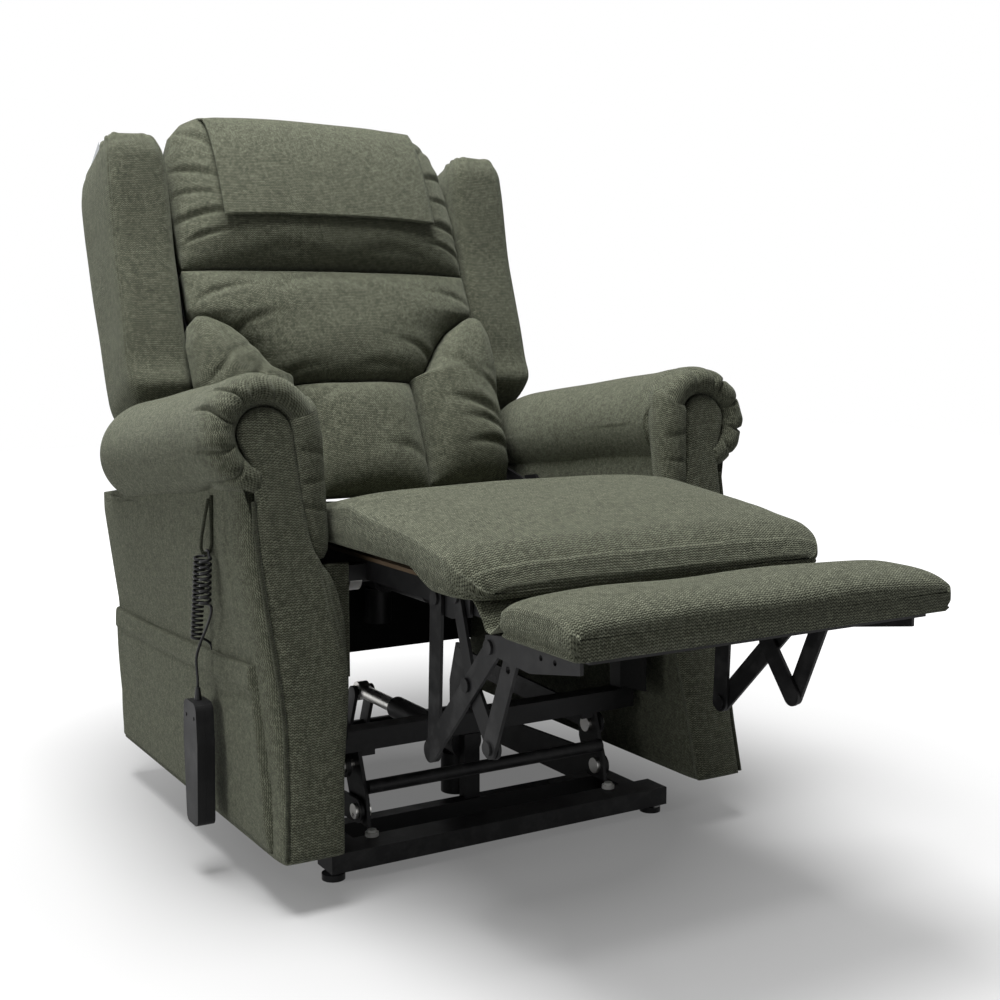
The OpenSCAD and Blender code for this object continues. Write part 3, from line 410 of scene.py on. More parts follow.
# ---------------------------------------------------------------- camera
CAMERA_PLACE = [-960.9, -1498.4, 682.3]     # chair mm
CAMERA_DOWN, CAMERA_TURN = 6.63, -31.17     # degrees
SENSOR, LENS, FAR_CLIP = 36, 50.86, 50      # mm, mm, m
cam = bpy.data.objects.new("camera", bpy.data.cameras.new("camera"))
bpy.context.scene.collection.objects.link(cam)
cam.location = row_frame(CAMERA_PLACE)
cam.rotation_euler = (math.radians(90 - CAMERA_DOWN), 0, math.radians(CAMERA_TURN))
cam.data.sensor_width, cam.data.lens, cam.data.clip_end = SENSOR, LENS, FAR_CLIP
bpy.context.scene.camera = cam

# ---------------------------------------------------------------- handset cord
HANG_X, HANG_Y, LOOP_Z = 385.0, 158.0, 415.0    # where the cord hangs over its loop
CURL_R, WIRE_R = 8.0, 1.8                       # outside radius of a curl, radius of the wire
CURL_AXIS = CURL_R - WIRE_R
LONG_STEP, SHORT_STEP = 8.0, 6.4                # pitch of the curls on the two legs
A_TOP = np.array([-HANG_X, HANG_Y + 13, LOOP_Z - 3])
B_TOP = np.array([-HANG_X, HANG_Y - 9, LOOP_Z - 3])
A_BOTTOM = np.array([-HANG_X + 6, HANG_Y + 50, 300])
B_BOTTOM = np.array([-HANG_X, HANG_Y - 3, 352])
OVER_LOOP = [[0, 0.1, 0], [0, 3.4, 0.2], [0, 5, 2], [0, 5.6, 4.4], [0, 6.8, 6.6], [0, 9, 7.6], [0, 11, 7.8],
             [0, 13, 7.6], [0, 15.2, 6.6], [0, 16.4, 4.4], [0, 17, 2], [0, 18.6, 0.2], [0, 21.9, 0]]
TO_HANDSET = [[0, -0.1, 0], [0, -3, -0.6], [0, -5, -4], [0, 0, -14], [0, 20, -36], [-2, 32, -52], [-6, 38, -72],
              [-6.2, 36.5, -90], [-6.2, 35, -98], [-6.2, 35, -109.8]]
INTO_POCKET = [[0, 0.1, 0], [1, 3, -0.4], [5, 6, -2], [11, 8, -6], [15.4, 9, -11], [17.6, 9.5, -17], [18, 9.5, -22]]


def curl_line(p, q, step, hand, per=16):
    """Centre line of the curls down a leg from p to q: the leg's point plus CURL_AXIS * (cos a, sin a, 0)."""
    n = int(round((p[2] - q[2]) / step)) * per
    i = np.arange(n + 1)
    a = hand * TURN * i / per
    return p + (q - p) * (i / n)[:, None] + CURL_AXIS * np.stack([np.cos(a), np.sin(a), 0 * a], 1)


def stretch(points, start, per=5):
    """The plain stretch's points from its start, rounded by a Catmull-Rom curve."""
    p = np.asarray(points, float) + start + [CURL_AXIS, 0, 0]
    q = np.concatenate([2 * p[:1] - p[1:2], p, 2 * p[-1:] - p[-2:-1]])
    t = np.linspace(0, 1, per, endpoint=False)[:, None]
    out = [0.5 * (2 * q[k] + (q[k + 1] - q[k - 1]) * t + (2 * q[k - 1] - 5 * q[k] + 4 * q[k + 1] - q[k + 2]) * t ** 2
                  + (3 * q[k] - q[k - 1] - 3 * q[k + 1] + q[k + 2]) * t ** 3) for k in range(1, len(q) - 2)]
    return np.concatenate(out + [p[-1:]])


cord_path = row_frame(np.concatenate([
    stretch(TO_HANDSET, B_BOTTOM)[::-1], curl_line(B_TOP, B_BOTTOM, LONG_STEP, -1)[::-1][1:],
    stretch(OVER_LOOP, B_TOP)[1:], curl_line(A_TOP, A_BOTTOM, SHORT_STEP, 1)[1:],
    stretch(INTO_POCKET, A_BOTTOM)[1:]]))
cord = tube("handset_cord", cord_path, WIRE_R / MM, "chassis", RUBBER, sides=10)
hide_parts("cord_plain", "cord_curls")

# ---------------------------------------------------------------- arms
ARM_IN, ARM_FOOT, ARM_REAR = 272.0, 62.0, 650.0             # inner face, foot height, rear end
ROLL_X, ROLL_Z, ROLL_R, ROLL_FACE = 332.0, 563.0, 77.0, 93.0  # axis at the front, radius, front face
LEAN = math.tan(math.radians(8.8))                          # how far the front leans back per mm up
SLOPE = math.radians(6.9)                                   # fall of the roll to the rear


def arm_outer(z):
    """Distance of the arm's outside from the middle, at height z, read along its outline."""
    return ARM_IN + np.interp(z, [62, 140, 280, 420, 500, 600], [78, 74, 80, 98, 99, 96])


def on_roll(x, along, up):
    """The roll's frame: along its axis from the front face, and up square to it, turned by the roll's slope."""
    x, along, up = np.broadcast_arrays(x, along, up)
    return np.stack([ROLL_X + x, ROLL_FACE + along * math.cos(SLOPE) + up * math.sin(SLOPE),
                     ROLL_Z - along * math.sin(SLOPE) + up * math.cos(SLOPE)], -1)


def mirror(p, side):
    """The points with x times side, -1 or 1."""
    p = np.array(p, float)
    p[..., 0] *= side
    return p


def curve(points, n, soft=7):
    """n points along a table of coordinates, evenly spaced by its own index, with the corners averaged away."""
    points = np.asarray(points, float)
    t = np.linspace(0, len(points) - 1, n)
    out = np.stack([np.interp(t, np.arange(len(points)), c) for c in points.T], 1)
    wide = np.pad(out, ((soft // 2,) * 2, (0, 0)), mode="edge")
    return np.stack([np.convolve(c, np.ones(soft) / soft, "valid") for c in wide.T], 1)


def soften(v):
    """A row of values with each one made the mean of seven."""
    return np.convolve(np.pad(v, 3, mode="edge"), np.ones(7) / 7, "valid")


def crease(d, width=2.6):
    """A narrow hollow: exp(-(d / width) ** 2)."""
    return np.exp(-(d / width) ** 2)


def tongue_edges(z):
    """Inner and outer edge of the tongue-shaped front panel at height z: a neck below the arch, then the swept foot."""
    outer = np.interp(z, [62, 138, 219, 255, 284, 314, 343, 384, 414, 455, 493, 519, 532, 546, 563],
                      [344, 337.5, 333.5, 335, 337.5, 340.5, 344, 347, 349.5, 352, 351, 351, 355, 363, 368])
    inner = np.interp(z, [62, 160, 252, 324, 346, 367, 386, 402, 412, 432, 450, 486, 559],
                      [272, 264, 250, 245, 245.5, 250, 256, 262, 276, 284, 286.5, 291.5, 297])
    return inner, outer


def arm_panel(side):
    """The arm's box: from front to rear, a closed section up the outside, under the roll and down the inside. The
    outside stands proud by up to 5 mm in the middle and wraps round to the front panel's seam in a quarter ellipse;
    soft upright folds lie near that seam."""
    out_z = np.linspace(ARM_FOOT, 500, 60)
    out = np.stack([arm_outer(out_z), out_z], 1)
    top = np.stack([np.linspace(arm_outer(500) - 4, ARM_IN + 18, 8), np.full(8, 515.0)], 1)
    in_z = np.linspace(535, ARM_FOOT, 44)
    inner = np.stack([np.full(44, ARM_IN), in_z], 1)
    foot = np.stack([np.linspace(ARM_IN + 5, arm_outer(ARM_FOOT) - 5, 10), np.full(10, ARM_FOOT)], 1)
    sec = np.concatenate([out, top, inner, foot])
    t = np.concatenate([0.07 * np.linspace(0, 1, 16) ** 2, np.linspace(0.078, 0.985, 84), [0.992, 0.997, 1.0]])[:, None]
    z = np.broadcast_to(sec[:, 1], (len(t), len(sec))).copy()
    fall = ((ARM_REAR * t - ROLL_FACE).clip(0)) * math.tan(SLOPE)
    z = ARM_FOOT + (z - ARM_FOOT) * (1 - fall * smooth((z - 440) / 60) / 440)
    front = (z - ARM_FOOT) * LEAN + 3
    y = front + (ARM_REAR - front) * t
    first, last, n = len(out), len(out) + len(top), np.arange(len(sec))
    outside, inside = n < first, (n >= last) & (n < last + len(inner))
    corner = 1 - np.sqrt(np.clip(1 - (1 - np.clip(t / 0.06, 0, 1)) ** 2, 0, 1))
    tail = 1 - np.sqrt(np.clip(1 - (1 - np.clip((1 - t) / 0.02, 0, 1)) ** 2, 0, 1))
    k = (z - ARM_FOOT) / 440
    wrap = (arm_outer(z) - tongue_edges(z)[1] - 1) * corner + 8 * tail
    puff = np.sin(np.pi * np.clip(k, 0, 1)) ** 0.7 * np.sin(np.pi * np.clip(t, 0, 1)) ** 0.35
    fold = sum(crease(y - front - a - 9 * np.sin(k * b), 9) * c * smooth((k - 0.45) * 3) for a, b, c in
               [(52, 2.1, 1.6), (84, 1.4, -1.5), (120, 2.6, 1.3)])
    x = sec[:, 0] + 0 * z
    x = np.where(outside, arm_outer(z) + 4.5 * puff - wrap + 1.2 * ripple(k, t, 3 + (side > 0)) * puff + fold, x)
    x = np.where(inside, x + 6 * corner + 8 * tail - 1.2 * puff, x)
    return mirror(np.stack([x, y, z], -1), side)


# heading round the roll in degrees and strength of each dart
DARTS = [(-46, 0.9), (-14, 1.0), (24, 1.1), (52, 0.9), (74, 0.5), (104, 0.6)]


def arm_scroll(side):
    """The roll with its rounded front: from a pole behind the tongue, out over a bead 25 mm proud, over the edge and
    along the axis to a long rounded tail. Short darts cut the bead, their depth fading along the roll, and the part
    over the wing's sweep is pressed in to the wing's side."""
    a = np.radians(np.linspace(-180, 180, 260, endpoint=False))
    deg = np.degrees(a)
    deg = np.where(deg < -125, deg + 360, deg)
    proud = smooth((deg + 92) / 18) * smooth((176 - deg) / 20)
    bead = curve([[36.5, -9], [38, -15], [42, -20], [49, -24.5], [57, -25.5], [65, -22.5], [71, -15], [75, -4],
                  [77, 10], [77, 24]], 34)
    face_r = np.concatenate([np.linspace(4, 34, 4), bead[:, 0]])
    forward = np.concatenate([np.full(4, -4.0), bead[:, 1]])
    flat = 4 + 20 * smooth((face_r - 66) / 11)
    far = np.concatenate([np.linspace(28, 90, 14), np.linspace(98, 552, 74)])
    tail_r = 76.5 - 1.5 * smooth((far - 40) / 40) - 47 * ((far - 395).clip(0) / 157) ** 2.2
    r = np.concatenate([face_r, tail_r])[:, None]
    y = np.concatenate([forward, far])[:, None] * proud + np.concatenate([flat, far])[:, None] * (1 - proud)
    reach = np.exp(-((y - 12).clip(0) / 24))
    cut = sum(k * crease(deg - c - 4.0 * np.sin(r / 9 + c), 1.8 + 0.04 * (ROLL_R - r).clip(0)) for c, k in DARTS)
    fat = sum(k * np.exp(-((deg - c - 11) / 8) ** 2) for c, k in DARTS)
    shape = reach * smooth((r - 36) / 6) * proud
    puff = (4.6 * cut - 1.6 * fat) * shape
    r = r - puff * 0.8 + 1.1 * ripple(a / 6.28, y / 420, 11 + (side > 0)) * smooth((y - 10) / 30)
    y = y + puff
    r = r - 3.5 * crease(deg + 62 + 0 * y, 7) * smooth((y + 12) / 24)
    pinch = crease(deg + 52 + (y - 60) * 0.16, 5) * np.exp(-((y - 62) / 34) ** 2)
    r = r - 4.5 * pinch
    p = on_roll(r * np.cos(a), y, r * np.sin(a))
    press = smooth((p[..., 1] - 505) / 40) * smooth((p[..., 2] - (640 - 1.28 * (p[..., 1] - 500))) / 12)
    p[..., 0] = np.where(p[..., 0] < 357, p[..., 0] + (357 - p[..., 0]) * press, p[..., 0])
    return mirror(p, side)


def tongue(side):
    """The front panel: rows up the leaning front with an elliptic arch on top; each row bulges forward by
    7 mm * (1 - |s| ** 7) ** 0.5 and its rim turns back into the seam. Inside the swept part a seam's crease runs
    20 mm from the edge and fades downwards."""
    z = np.concatenate([np.linspace(ARM_FOOT + 1, 563, 110), 563 + 35 * np.sin(np.linspace(0.05, np.pi / 2, 20))])
    inner, outer = tongue_edges(np.minimum(z, 563))
    inner, outer = soften(inner), soften(outer)
    arch = np.sqrt(np.clip(1 - ((z - 563).clip(0) / 35.2) ** 2, 0, 1))
    c, h = (inner + outer) / 2, (outer - inner) / 2 * arch
    s = np.concatenate([[-0.9], -np.cos(np.linspace(0, np.pi, 61)), [0.9]])
    bow = np.clip(1 - np.abs(s[1:-1]) ** 7, 0, 1) ** 0.5
    x = c[:, None] + h[:, None] * s
    zz = np.broadcast_to(z[:, None], x.shape)
    low = 1 - 0.7 * np.clip((ARM_FOOT + 10 - zz) / 10, 0, 1) ** 2
    y = (zz - ARM_FOOT) * LEAN + 3
    y[:, 1:-1] -= 7.5 * bow * low[:, 1:-1] * np.sqrt(arch)[:, None]
    y[:, [0, -1]] += 11
    line = np.interp(zz, [292, 323, 351, 399, 418], [256, 261, 267.5, 275, 280])
    inward = smooth((line - x + 2) / 12) * smooth((zz - 270) / 40) * smooth((420 - zz) / 12)
    y += 7 * inward + 3 * crease(x - line, 2.2) * smooth((zz - 280) / 40) * smooth((412 - zz) / 10)
    y += 1.0 * ripple(zz / 420, x / 260, 21) * np.concatenate([[0], bow, [0]])
    return mirror(np.stack([x, y, zz], -1), side)


def inner_band(side):
    """The roll's cloth where it runs down inside the tongue: a strip domed across by up to 19 mm, mitred to the bead
    along a slant at its head and cut off by a seam at its foot, with shallow gathers across it."""
    b = np.linspace(0, 1, 30)
    s = (1 - np.cos(np.pi * b)) / 2
    head = 585 + 24 * (1 - s)
    t = np.concatenate([[0, 0.008, 0.02, 0.04], np.linspace(0.06, 0.955, 56), [0.972, 0.988, 1.0]])[:, None]
    z = head + (414 - head) * t
    left = np.interp(z, [414, 424, 437, 560, 596, 612], [263, 258.5, 256.5, 256, 261, 268])
    right = np.interp(z, [414, 450, 486, 563, 580, 600], [278, 288, 293, 298, 301, 309])
    x = left + (right - left) * s
    ends = np.sqrt(np.clip((z - 413) / 9, 0, 1)) * np.sqrt(np.clip((head - z + 1.5) / 11, 0.02, 1))
    dome = np.sin(np.pi * b) ** 0.55 * np.interp(z, [414, 440, 500, 560], [6, 11, 15, 20]) * ends
    dome = dome - 2.2 * np.sin(np.pi * b) * sum(crease(z - q - k * b, 3) for q, k in ((538, 12), (512, -8), (470, 10)))
    y = (z - ARM_FOOT) * LEAN + 7 - dome + 13 * (1 - b) ** 2.5
    back = np.stack([x[:, [-1, 0]], y[:, [-1, 0]] + 10, z[:, [-1, 0]]], -1)
    return mirror(np.concatenate([np.stack([x, y, z], -1), back], 1), side)


def welt(side):
    """Centre line of the raised seam down the tongue's outer edge."""
    z = np.linspace(488, ARM_FOOT + 4, 60)
    return mirror(np.stack([tongue_edges(z)[1] + 2.5, (z - ARM_FOOT) * LEAN + 0.5, z], -1), side)


for side, tag in ((-1, "left"), (1, "right")):
    ob = surface(f"arm_{tag}_box", row_frame(arm_panel(side)), "chassis", CLOTH)
    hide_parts(f"arm_{tag}_body")
    ob = surface(f"arm_{tag}_scroll", row_frame(arm_scroll(side)), "chassis", CLOTH)
    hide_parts(f"arm_{tag}_roll", f"arm_{tag}_ring")
    tube(f"arm_{tag}_welt", row_frame(welt(side)), 0.0027, "chassis", PIPING)
    ob = surface(f"arm_{tag}_band", row_frame(inner_band(side)), "chassis", CLOTH)
    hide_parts(f"arm_{tag}_front")
    ob = surface(f"arm_{tag}_tongue", row_frame(tongue(side)), "chassis", CLOTH_COARSE)
    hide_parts(f"arm_{tag}_front")

# ---------------------------------------------------------------- seat
SEAT_W, SEAT_Z, CROWN = 254.0, 410.0, 500.0     # half width, foot and crown heights
SEAT_F, SEAT_R = -262.0, 455.0                  # front and rear ends


def seat_top(y):
    """Height of the seat's middle at y: up over the rounded front, to the crown, then down to the rear."""
    return np.interp(y, [SEAT_F, SEAT_F + 12, SEAT_F + 40, -120, 30, 150, 250, 330, SEAT_R],
                     [SEAT_Z + 16, SEAT_Z + 36, SEAT_Z + 56, CROWN - 16, CROWN, CROWN - 22, CROWN - 48, CROWN - 66,
                      CROWN - 72])


def cushion_section(h, w, y, base, drop):
    """One closed ring across a boxed cushion: flat foot, side wall that bulges to the seam, then a crown that falls
    by drop * |s| ** 4 from the middle."""
    s = np.sin(np.linspace(-np.pi / 2, np.pi / 2, 61)) * 0.6 + np.linspace(-1, 1, 61) * 0.4
    side = np.linspace(0, 1, 12)[1:-1]
    seam = h - drop - 3
    bulge = 1.8 * np.sin(np.pi * side) - 4 * crease((side - 0.22) * h, 3.0)
    top_z = base + h - drop * np.abs(s) ** 4 - 6 * np.abs(s) ** 30
    left = np.stack([-w - bulge, np.full(10, y), base + seam * side], -1)
    right = np.stack([w + bulge, np.full(10, y), base + seam * side], -1)[::-1]
    top = np.stack([s * w, np.full(61, y), top_z], -1)
    foot = np.stack([np.linspace(w - 4, -w + 4, 15), np.full(15, y), np.full(15, base)], -1)
    return np.concatenate([left, top, right, foot])


def boxed_cushion(ys, top, width, base, drop, seed):
    """The section set at each y, with its height, width and drop there, and a slow ripple in all but its foot."""
    p = np.array([cushion_section(top(y) - base, width(y), y, base, drop(top(y) - base)) for y in ys])
    p[..., 2] += np.where(p[..., 2] > base + 4, 1.5 * ripple(p[..., 0] / 420, p[..., 1] / 420, seed), 0)
    return p


ys = np.concatenate([SEAT_F + 30 * (1 - np.cos(np.linspace(0, np.pi / 2, 18))), np.linspace(-226, SEAT_R, 90)])
line = np.linspace(SEAT_F - 30, SEAT_R + 30, 800)
soft = np.convolve(seat_top(np.clip(line, SEAT_F, SEAT_R)), np.ones(25) / 25, "same")


def seat_width(y):
    """Half width at y: round front corners, and a step in towards the rear between the back's plates."""
    corner = 1 - math.sqrt(max(0.0, 1 - (1 - min(1.0, (y - SEAT_F) / 46)) ** 2))
    return SEAT_W - 1 - 34 * corner - 6 * float(smooth((y - 168) / 50))


seat = boxed_cushion(ys, lambda y: float(np.interp(y, line, soft) if SEAT_F + 14 < y < SEAT_R - 14 else seat_top(y)),
                     seat_width, SEAT_Z, lambda h: h * (0.3 - 0.0016 * h), 31)
# the foot of the side walls rises by up to 20 mm behind the front, where the frame carries the seat
low_edge = smooth((seat[..., 1] + 185) / 60) * smooth((np.abs(seat[..., 0]) - 165) / 60)
seat[..., 2] += 20 * low_edge * np.clip(1 - (seat[..., 2] - SEAT_Z) / 60, 0, 1)
ob = surface("seat_pad", row_frame(seat), "seat", CLOTH_COARSE)
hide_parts("seat_cushion")
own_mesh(ob)

BOARD_Y, BOARD_TOP = -324.0, 384.3      # rear edge and top of the footrest's board
PAD_DEEP, PAD_HIGH, PAD_WIDE = 132, 50, 250


def foot_rest():
    """The footrest's pad: sections from its tip to its rear. Its height is PAD_HIGH * (0.62 + 0.38 * swell) and its
    half width loses 7 mm at both ends, where t is the share of the way along."""
    ys = BOARD_Y + 3 - PAD_DEEP * (1 - np.linspace(0, 1, 44))
    share = lambda y: (y - BOARD_Y + PAD_DEEP - 3) / PAD_DEEP
    high = lambda y: BOARD_TOP + PAD_HIGH * (0.62 + 0.38 * float(swell(share(y), 3, 0.6)))
    wide = lambda y: PAD_WIDE - 7 * (1 - float(swell(share(y), 20, 0.5)))
    return boxed_cushion(ys, high, wide, BOARD_TOP, lambda h: 0.13 * h, 41)


ob = surface("footrest_pad", row_frame(foot_rest()), "footrest", CLOTH_COARSE)
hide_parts("footrest_cushion")

FLAP_LINE = np.array([[-242, 409.5], [-252, 402], [-262, 391], [-270, 380], [-279, 378], [-289, 384], [-298, 392]])


def flap():
    """The cloth between seat and footrest: FLAP_LINE carried across, with shallow waves 2.2 mm * sin(x / 19)."""
    s = np.linspace(0, 1, 40)
    y, z = (np.interp(s, np.linspace(0, 1, 7), c)[:, None] for c in FLAP_LINE.T)
    x = np.linspace(-235, 235, 90)
    wave = 2.2 * np.sin(x / 19) * np.sin(np.pi * s)[:, None]
    return np.stack([x + 0 * wave, y - 0.3 * wave, z + wave], -1)


ob = surface("bridging_cloth", row_frame(flap()), "seat", CLOTH_COARSE, wrap=False)
thicken(ob, 0.0016)
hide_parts("bridging_flap")
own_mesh(ob)

# ---------------------------------------------------------------- back
def folds(x, u, marks):
    """Pulled creases: for each mark (x, u, heading, length, width, depth), depth * exp(-(along / length) ** 2) times
    a hollow exp(-(across / width) ** 2) less 0.4 of a wider ridge beside it."""
    total = 0 * x
    for x0, u0, heading, length, width, depth in marks:
        h = math.radians(heading)
        along = (x - x0) * math.cos(h) + (u - u0) * math.sin(h)
        across = -(x - x0) * math.sin(h) + (u - u0) * math.cos(h) + 0.0035 * along ** 2
        hollow = crease(across, width) - 0.4 * crease(across - 2.2 * width, 1.6 * width)
        total = total + depth * crease(along, length) * hollow
    return total


def back_pad(z0, z1, rows, left, right, bulge, p, seed, gather, marks):
    """A pad on the back's slope: side curves left(t) and right(t), crowned across and swelling from z0 to z1.
    Gathers run in from the side edges and fade out in a tenth of the width; marks are its longer creases."""
    t = (1 - np.cos(np.pi * np.linspace(0, 1, rows))) / 2 * 0.5 + np.linspace(0, 1, rows) * 0.5
    l, r = np.interp(t, *left)[:, None], np.interp(t, *right)[:, None]
    s = -np.cos(np.linspace(0, np.pi, 81))
    x = (l + r) / 2 + s * (r - l) / 2
    u = z0 + (z1 - z0) * t[:, None] + 0 * x
    b = bulge * crown(s, 2.8, 0.55) * swell(t, p, 0.45)[:, None]
    rim = np.exp(-(1 - np.abs(s)) / 0.09)
    b = b + gather * rim * np.sin(u / 5.5 + 3 * np.sin(u / 31)) * swell(t, 6)[:, None] * (np.abs(s) < 0.995)
    soft = crown(s) ** 0.4 * swell(t, 4)[:, None] ** 0.5
    b = b + (2.2 * ripple(s / 2, t[:, None], seed) - folds(x, u, marks)) * soft
    front = np.stack([x, -b, u], -1)
    rear_x = np.clip(np.linspace(1, -1, 9)[None] * (r - l) / 2 * 0.98 + (l + r) / 2, -246, 246)
    d = np.minimum(35, 8 + 600 * t)[:, None] + 0 * rear_x
    rear = np.stack([rear_x, d, np.broadcast_to(u[:, :1], rear_x.shape)], -1)
    return up_slope(np.concatenate([front, rear], 1))


HALF, BACK_H = 248.0, 622.0     # half width and height of the back
head_side = ([0, 0.4, 0.68, 0.84, 0.94, 1], [HALF - 3, HALF - 1, HALF - 5, HALF - 16, HALF - 40, HALF - 70])
bolster = ([0, 0.04, 0.07, 0.19, 0.3, 0.43, 0.54, 0.6, 0.66, 1],
           [98, 118, 130, 146, 160, 183, 216, 240, HALF - 2, HALF - 2])
neg = lambda c: (c[0], [-v for v in c[1]])
flip = lambda marks: [(-x, u, 180 - h, a, b, d) for x, u, h, a, b, d in marks]
pillow_marks = [(-222, 508, -16, 46, 5, 7), (-226, 470, -5, 38, 4, 5), (-222, 430, 9, 46, 5, 7),
                (-216, 396, 14, 36, 4, 6), (-196, 566, -38, 58, 6, 7), (-150, 592, -58, 40, 5, 5),
                (218, 520, 12, 42, 5, 6), (222, 474, 4, 38, 4, 5), (224, 424, -8, 42, 5, 7),
                (218, 388, -14, 36, 4, 6), (204, 572, 36, 50, 6, 6), (-90, 372, 4, 70, 9, 3), (110, 376, -3, 80, 9, 3)]
bolster_marks = [(-205, 306, 18, 44, 6, 5), (-186, 240, 34, 48, 6, 6), (-118, 166, 24, 44, 6, 5),
                 (140, 196, -34, 46, 6, 6), (212, 300, -16, 42, 6, 5), (60, 176, -8, 60, 8, 3), (-40, 330, 3, 90, 9, 3)]
side_marks = [(205, 92, -30, 50, 7, 8), (222, 64, -24, 44, 6, 7), (214, 34, -10, 42, 6, 6), (160, 186, -36, 48, 7, 5),
              (126, 96, 78, 40, 6, 3), (232, 130, -40, 30, 5, 5)]
FOOT_U, SIDE_FOOT_U, SIDE_TOP_U = -29, -22, 269     # ends of the lower pads, up the slope
centre_side = ([0, 1], [98, 102])
centre_marks = [(-60, 130, 30, 40, 7, 3), (70, 30, -20, 50, 8, 3)]
pads = [("head_pad", "head_pillow", head_side, (352, BACK_H, 110), (66, 2.6, 51, 1.0), pillow_marks),
        ("upper_bolster_pad", "upper_bolster", bolster, (158, 349, 100), (44, 3, 52, 1.2), bolster_marks),
        ("lower_centre_pad", "lower_centre_panel", centre_side, (FOOT_U, 156, 70), (46, 3.4, 53, 0.5), centre_marks)]
for name, node, half, span, form, marks in pads:
    ob = surface(name, row_frame(back_pad(*span, neg(half), half, *form, marks)), "back", CLOTH_BACK)
    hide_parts(node)
u_rows = [SIDE_FOOT_U, 157] + [158 + 191 * q for q in bolster[0][:8]]
inner = ([(u - SIDE_FOOT_U) / (SIDE_TOP_U - SIDE_FOOT_U) for u in u_rows],
         [99.5, 103.5] + [v + 2 for v in bolster[1][:8]])
outer = ([0, 0.1, 0.28, 0.5, 0.62, 0.84, 0.95, 1],
         [HALF - 9, HALF - 1, HALF + 3, HALF + 4, HALF + 12, HALF + 13, HALF + 6, HALF - 8])
for side, tag in ((-1, "left"), (1, "right")):
    a, b = (inner, outer) if side > 0 else (neg(outer), neg(inner))
    marks = side_marks if side > 0 else flip([(x - 4, u + 38, h - 8, *q) for x, u, h, *q in side_marks])
    pad = back_pad(SIDE_FOOT_U, SIDE_TOP_U, 100, a, b, 57, 3.0, 54 + side, 1.5, marks)
    ob = surface(f"side_bolster_{tag}", row_frame(pad), "back", CLOTH_BACK)
    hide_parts("side_bolsters")


def wing(side):
    """A wing: superellipse sections up the slope between its front and rear edges. It widens towards the arm, its
    lower end slants to the rear, its top is an arch that falls on the inner side, and a seam runs down its outer
    front corner. Gathers fan out under the arch."""
    tab = np.array([[112, 118, 146, 40], [132, 62, 150, 78], [158, 14, 150, 98], [176, 8, 150, 104],
                    [200, 12, 150, 104], [262, 0, 150, 103], [380, -16, 150, 102], [470, -38, 150, 101],
                    [530, -52, 146, 100], [560, -44, 136, 97], [580, -14, 114, 90]])    # height, front, rear, width
    u = np.concatenate([112 + 20 * np.linspace(0, 1, 6) ** 1.6, np.linspace(138, 200, 16), np.linspace(206, 500, 60),
                        500 + 80 * np.sin(np.linspace(0.06, np.pi / 2, 34))])
    f, r, wd = (soften(np.interp(u, tab[:, 0], tab[:, k])) for k in (1, 2, 3))
    fall = 1 - np.sqrt(np.clip(1 - ((u - 490).clip(0) / 91) ** 2.4, 0, 1))
    top = np.sqrt(np.clip(1 - ((u - 556).clip(0) / 25) ** 2, 0.01, 1))
    a = np.linspace(0, 2 * np.pi, 132, endpoint=False)
    ca, sa = np.cos(a), np.sin(a)
    near, away = HALF - 0.5 + 46 * fall, HALF - 0.5 + wd - 24 * (1 - top) - 10 * fall
    cx, hx = (near + away) / 2, (away - near) / 2
    cy, hy = (f + r) / 2, (r - f) / 2 * (0.55 + 0.45 * top)
    x = cx[:, None] + hx[:, None] * np.sign(ca) * np.abs(ca) ** 0.34
    n = cy[:, None] + hy[:, None] * np.sign(sa) * np.abs(sa) ** np.where(ca < 0, 0.5, 0.34)
    seam = 2.6 * crease(a - 5.5, 0.03) - 1.6 * crease(a - 5.42, 0.07)
    fan = np.exp(-(566 - u).clip(0)[:, None] / 22) * 2.2 * np.sin(a * 15 + 2 * np.sin(a * 3)) * (sa < 0.2)
    k = 1.8 * ripple(a[None] / 6.28, u[:, None] / 300, 61 + side) - seam + fan
    return mirror(up_slope(np.stack([x + k * ca, n + k * sa, np.broadcast_to(u[:, None], x.shape)], -1)), side)


for side, tag in ((-1, "left"), (1, "right")):
    ob = surface(f"wing_{tag}_pad", row_frame(wing(side)), "back", CLOTH_BACK)
    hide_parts(f"wing_{tag}")


SHELL_FRONT = 56.3      # depth of the outside back's front edge


def back_shell(z0, z1):
    """The outside back between heights z0 and z1: a rounded box section with a softly domed rear."""
    u = np.linspace(z0, z1, 40)
    w = HALF - 1
    t = np.linspace(0, 1, 41)
    rear = 150 - np.interp(u, [70, 90, 380, 542, 572], [6, 0, 4, 4, 26])
    x = np.concatenate([np.linspace(-w, w, 21), np.full(6, w), np.linspace(w, -w, 41), np.full(6, -w)])
    dome = np.concatenate([np.full(21, -1.0), np.linspace(0.05, 0.9, 6), 1 + 0 * t, np.linspace(0.9, 0.05, 6)])
    n = np.where(dome < 0, SHELL_FRONT, SHELL_FRONT + (rear[:, None] - SHELL_FRONT) * np.clip(dome, 0, 1))
    soft = np.concatenate([np.zeros(27), np.clip(1 - np.abs(2 * t - 1) ** 6, 0, 1) ** 0.5 * 7 - 6, np.zeros(6)])
    n = n + soft * np.sin(np.pi * (u[:, None] - z0) / (z1 - z0)) ** 0.3
    return up_slope(np.stack([np.broadcast_to(x, n.shape), n, np.broadcast_to(u[:, None], n.shape)], -1))


for name, z0, z1 in (("rear_panel_low", 71, 206), ("rear_panel_high", 207, 571)):
    ob = surface(name, row_frame(back_shell(z0, z1)), "back", CLOTH)
    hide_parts("outside_back")


HEM_U, TURN_U, COVER_HALF = 418, 600, 182        # the cover's hem, its turn over the top and its half width


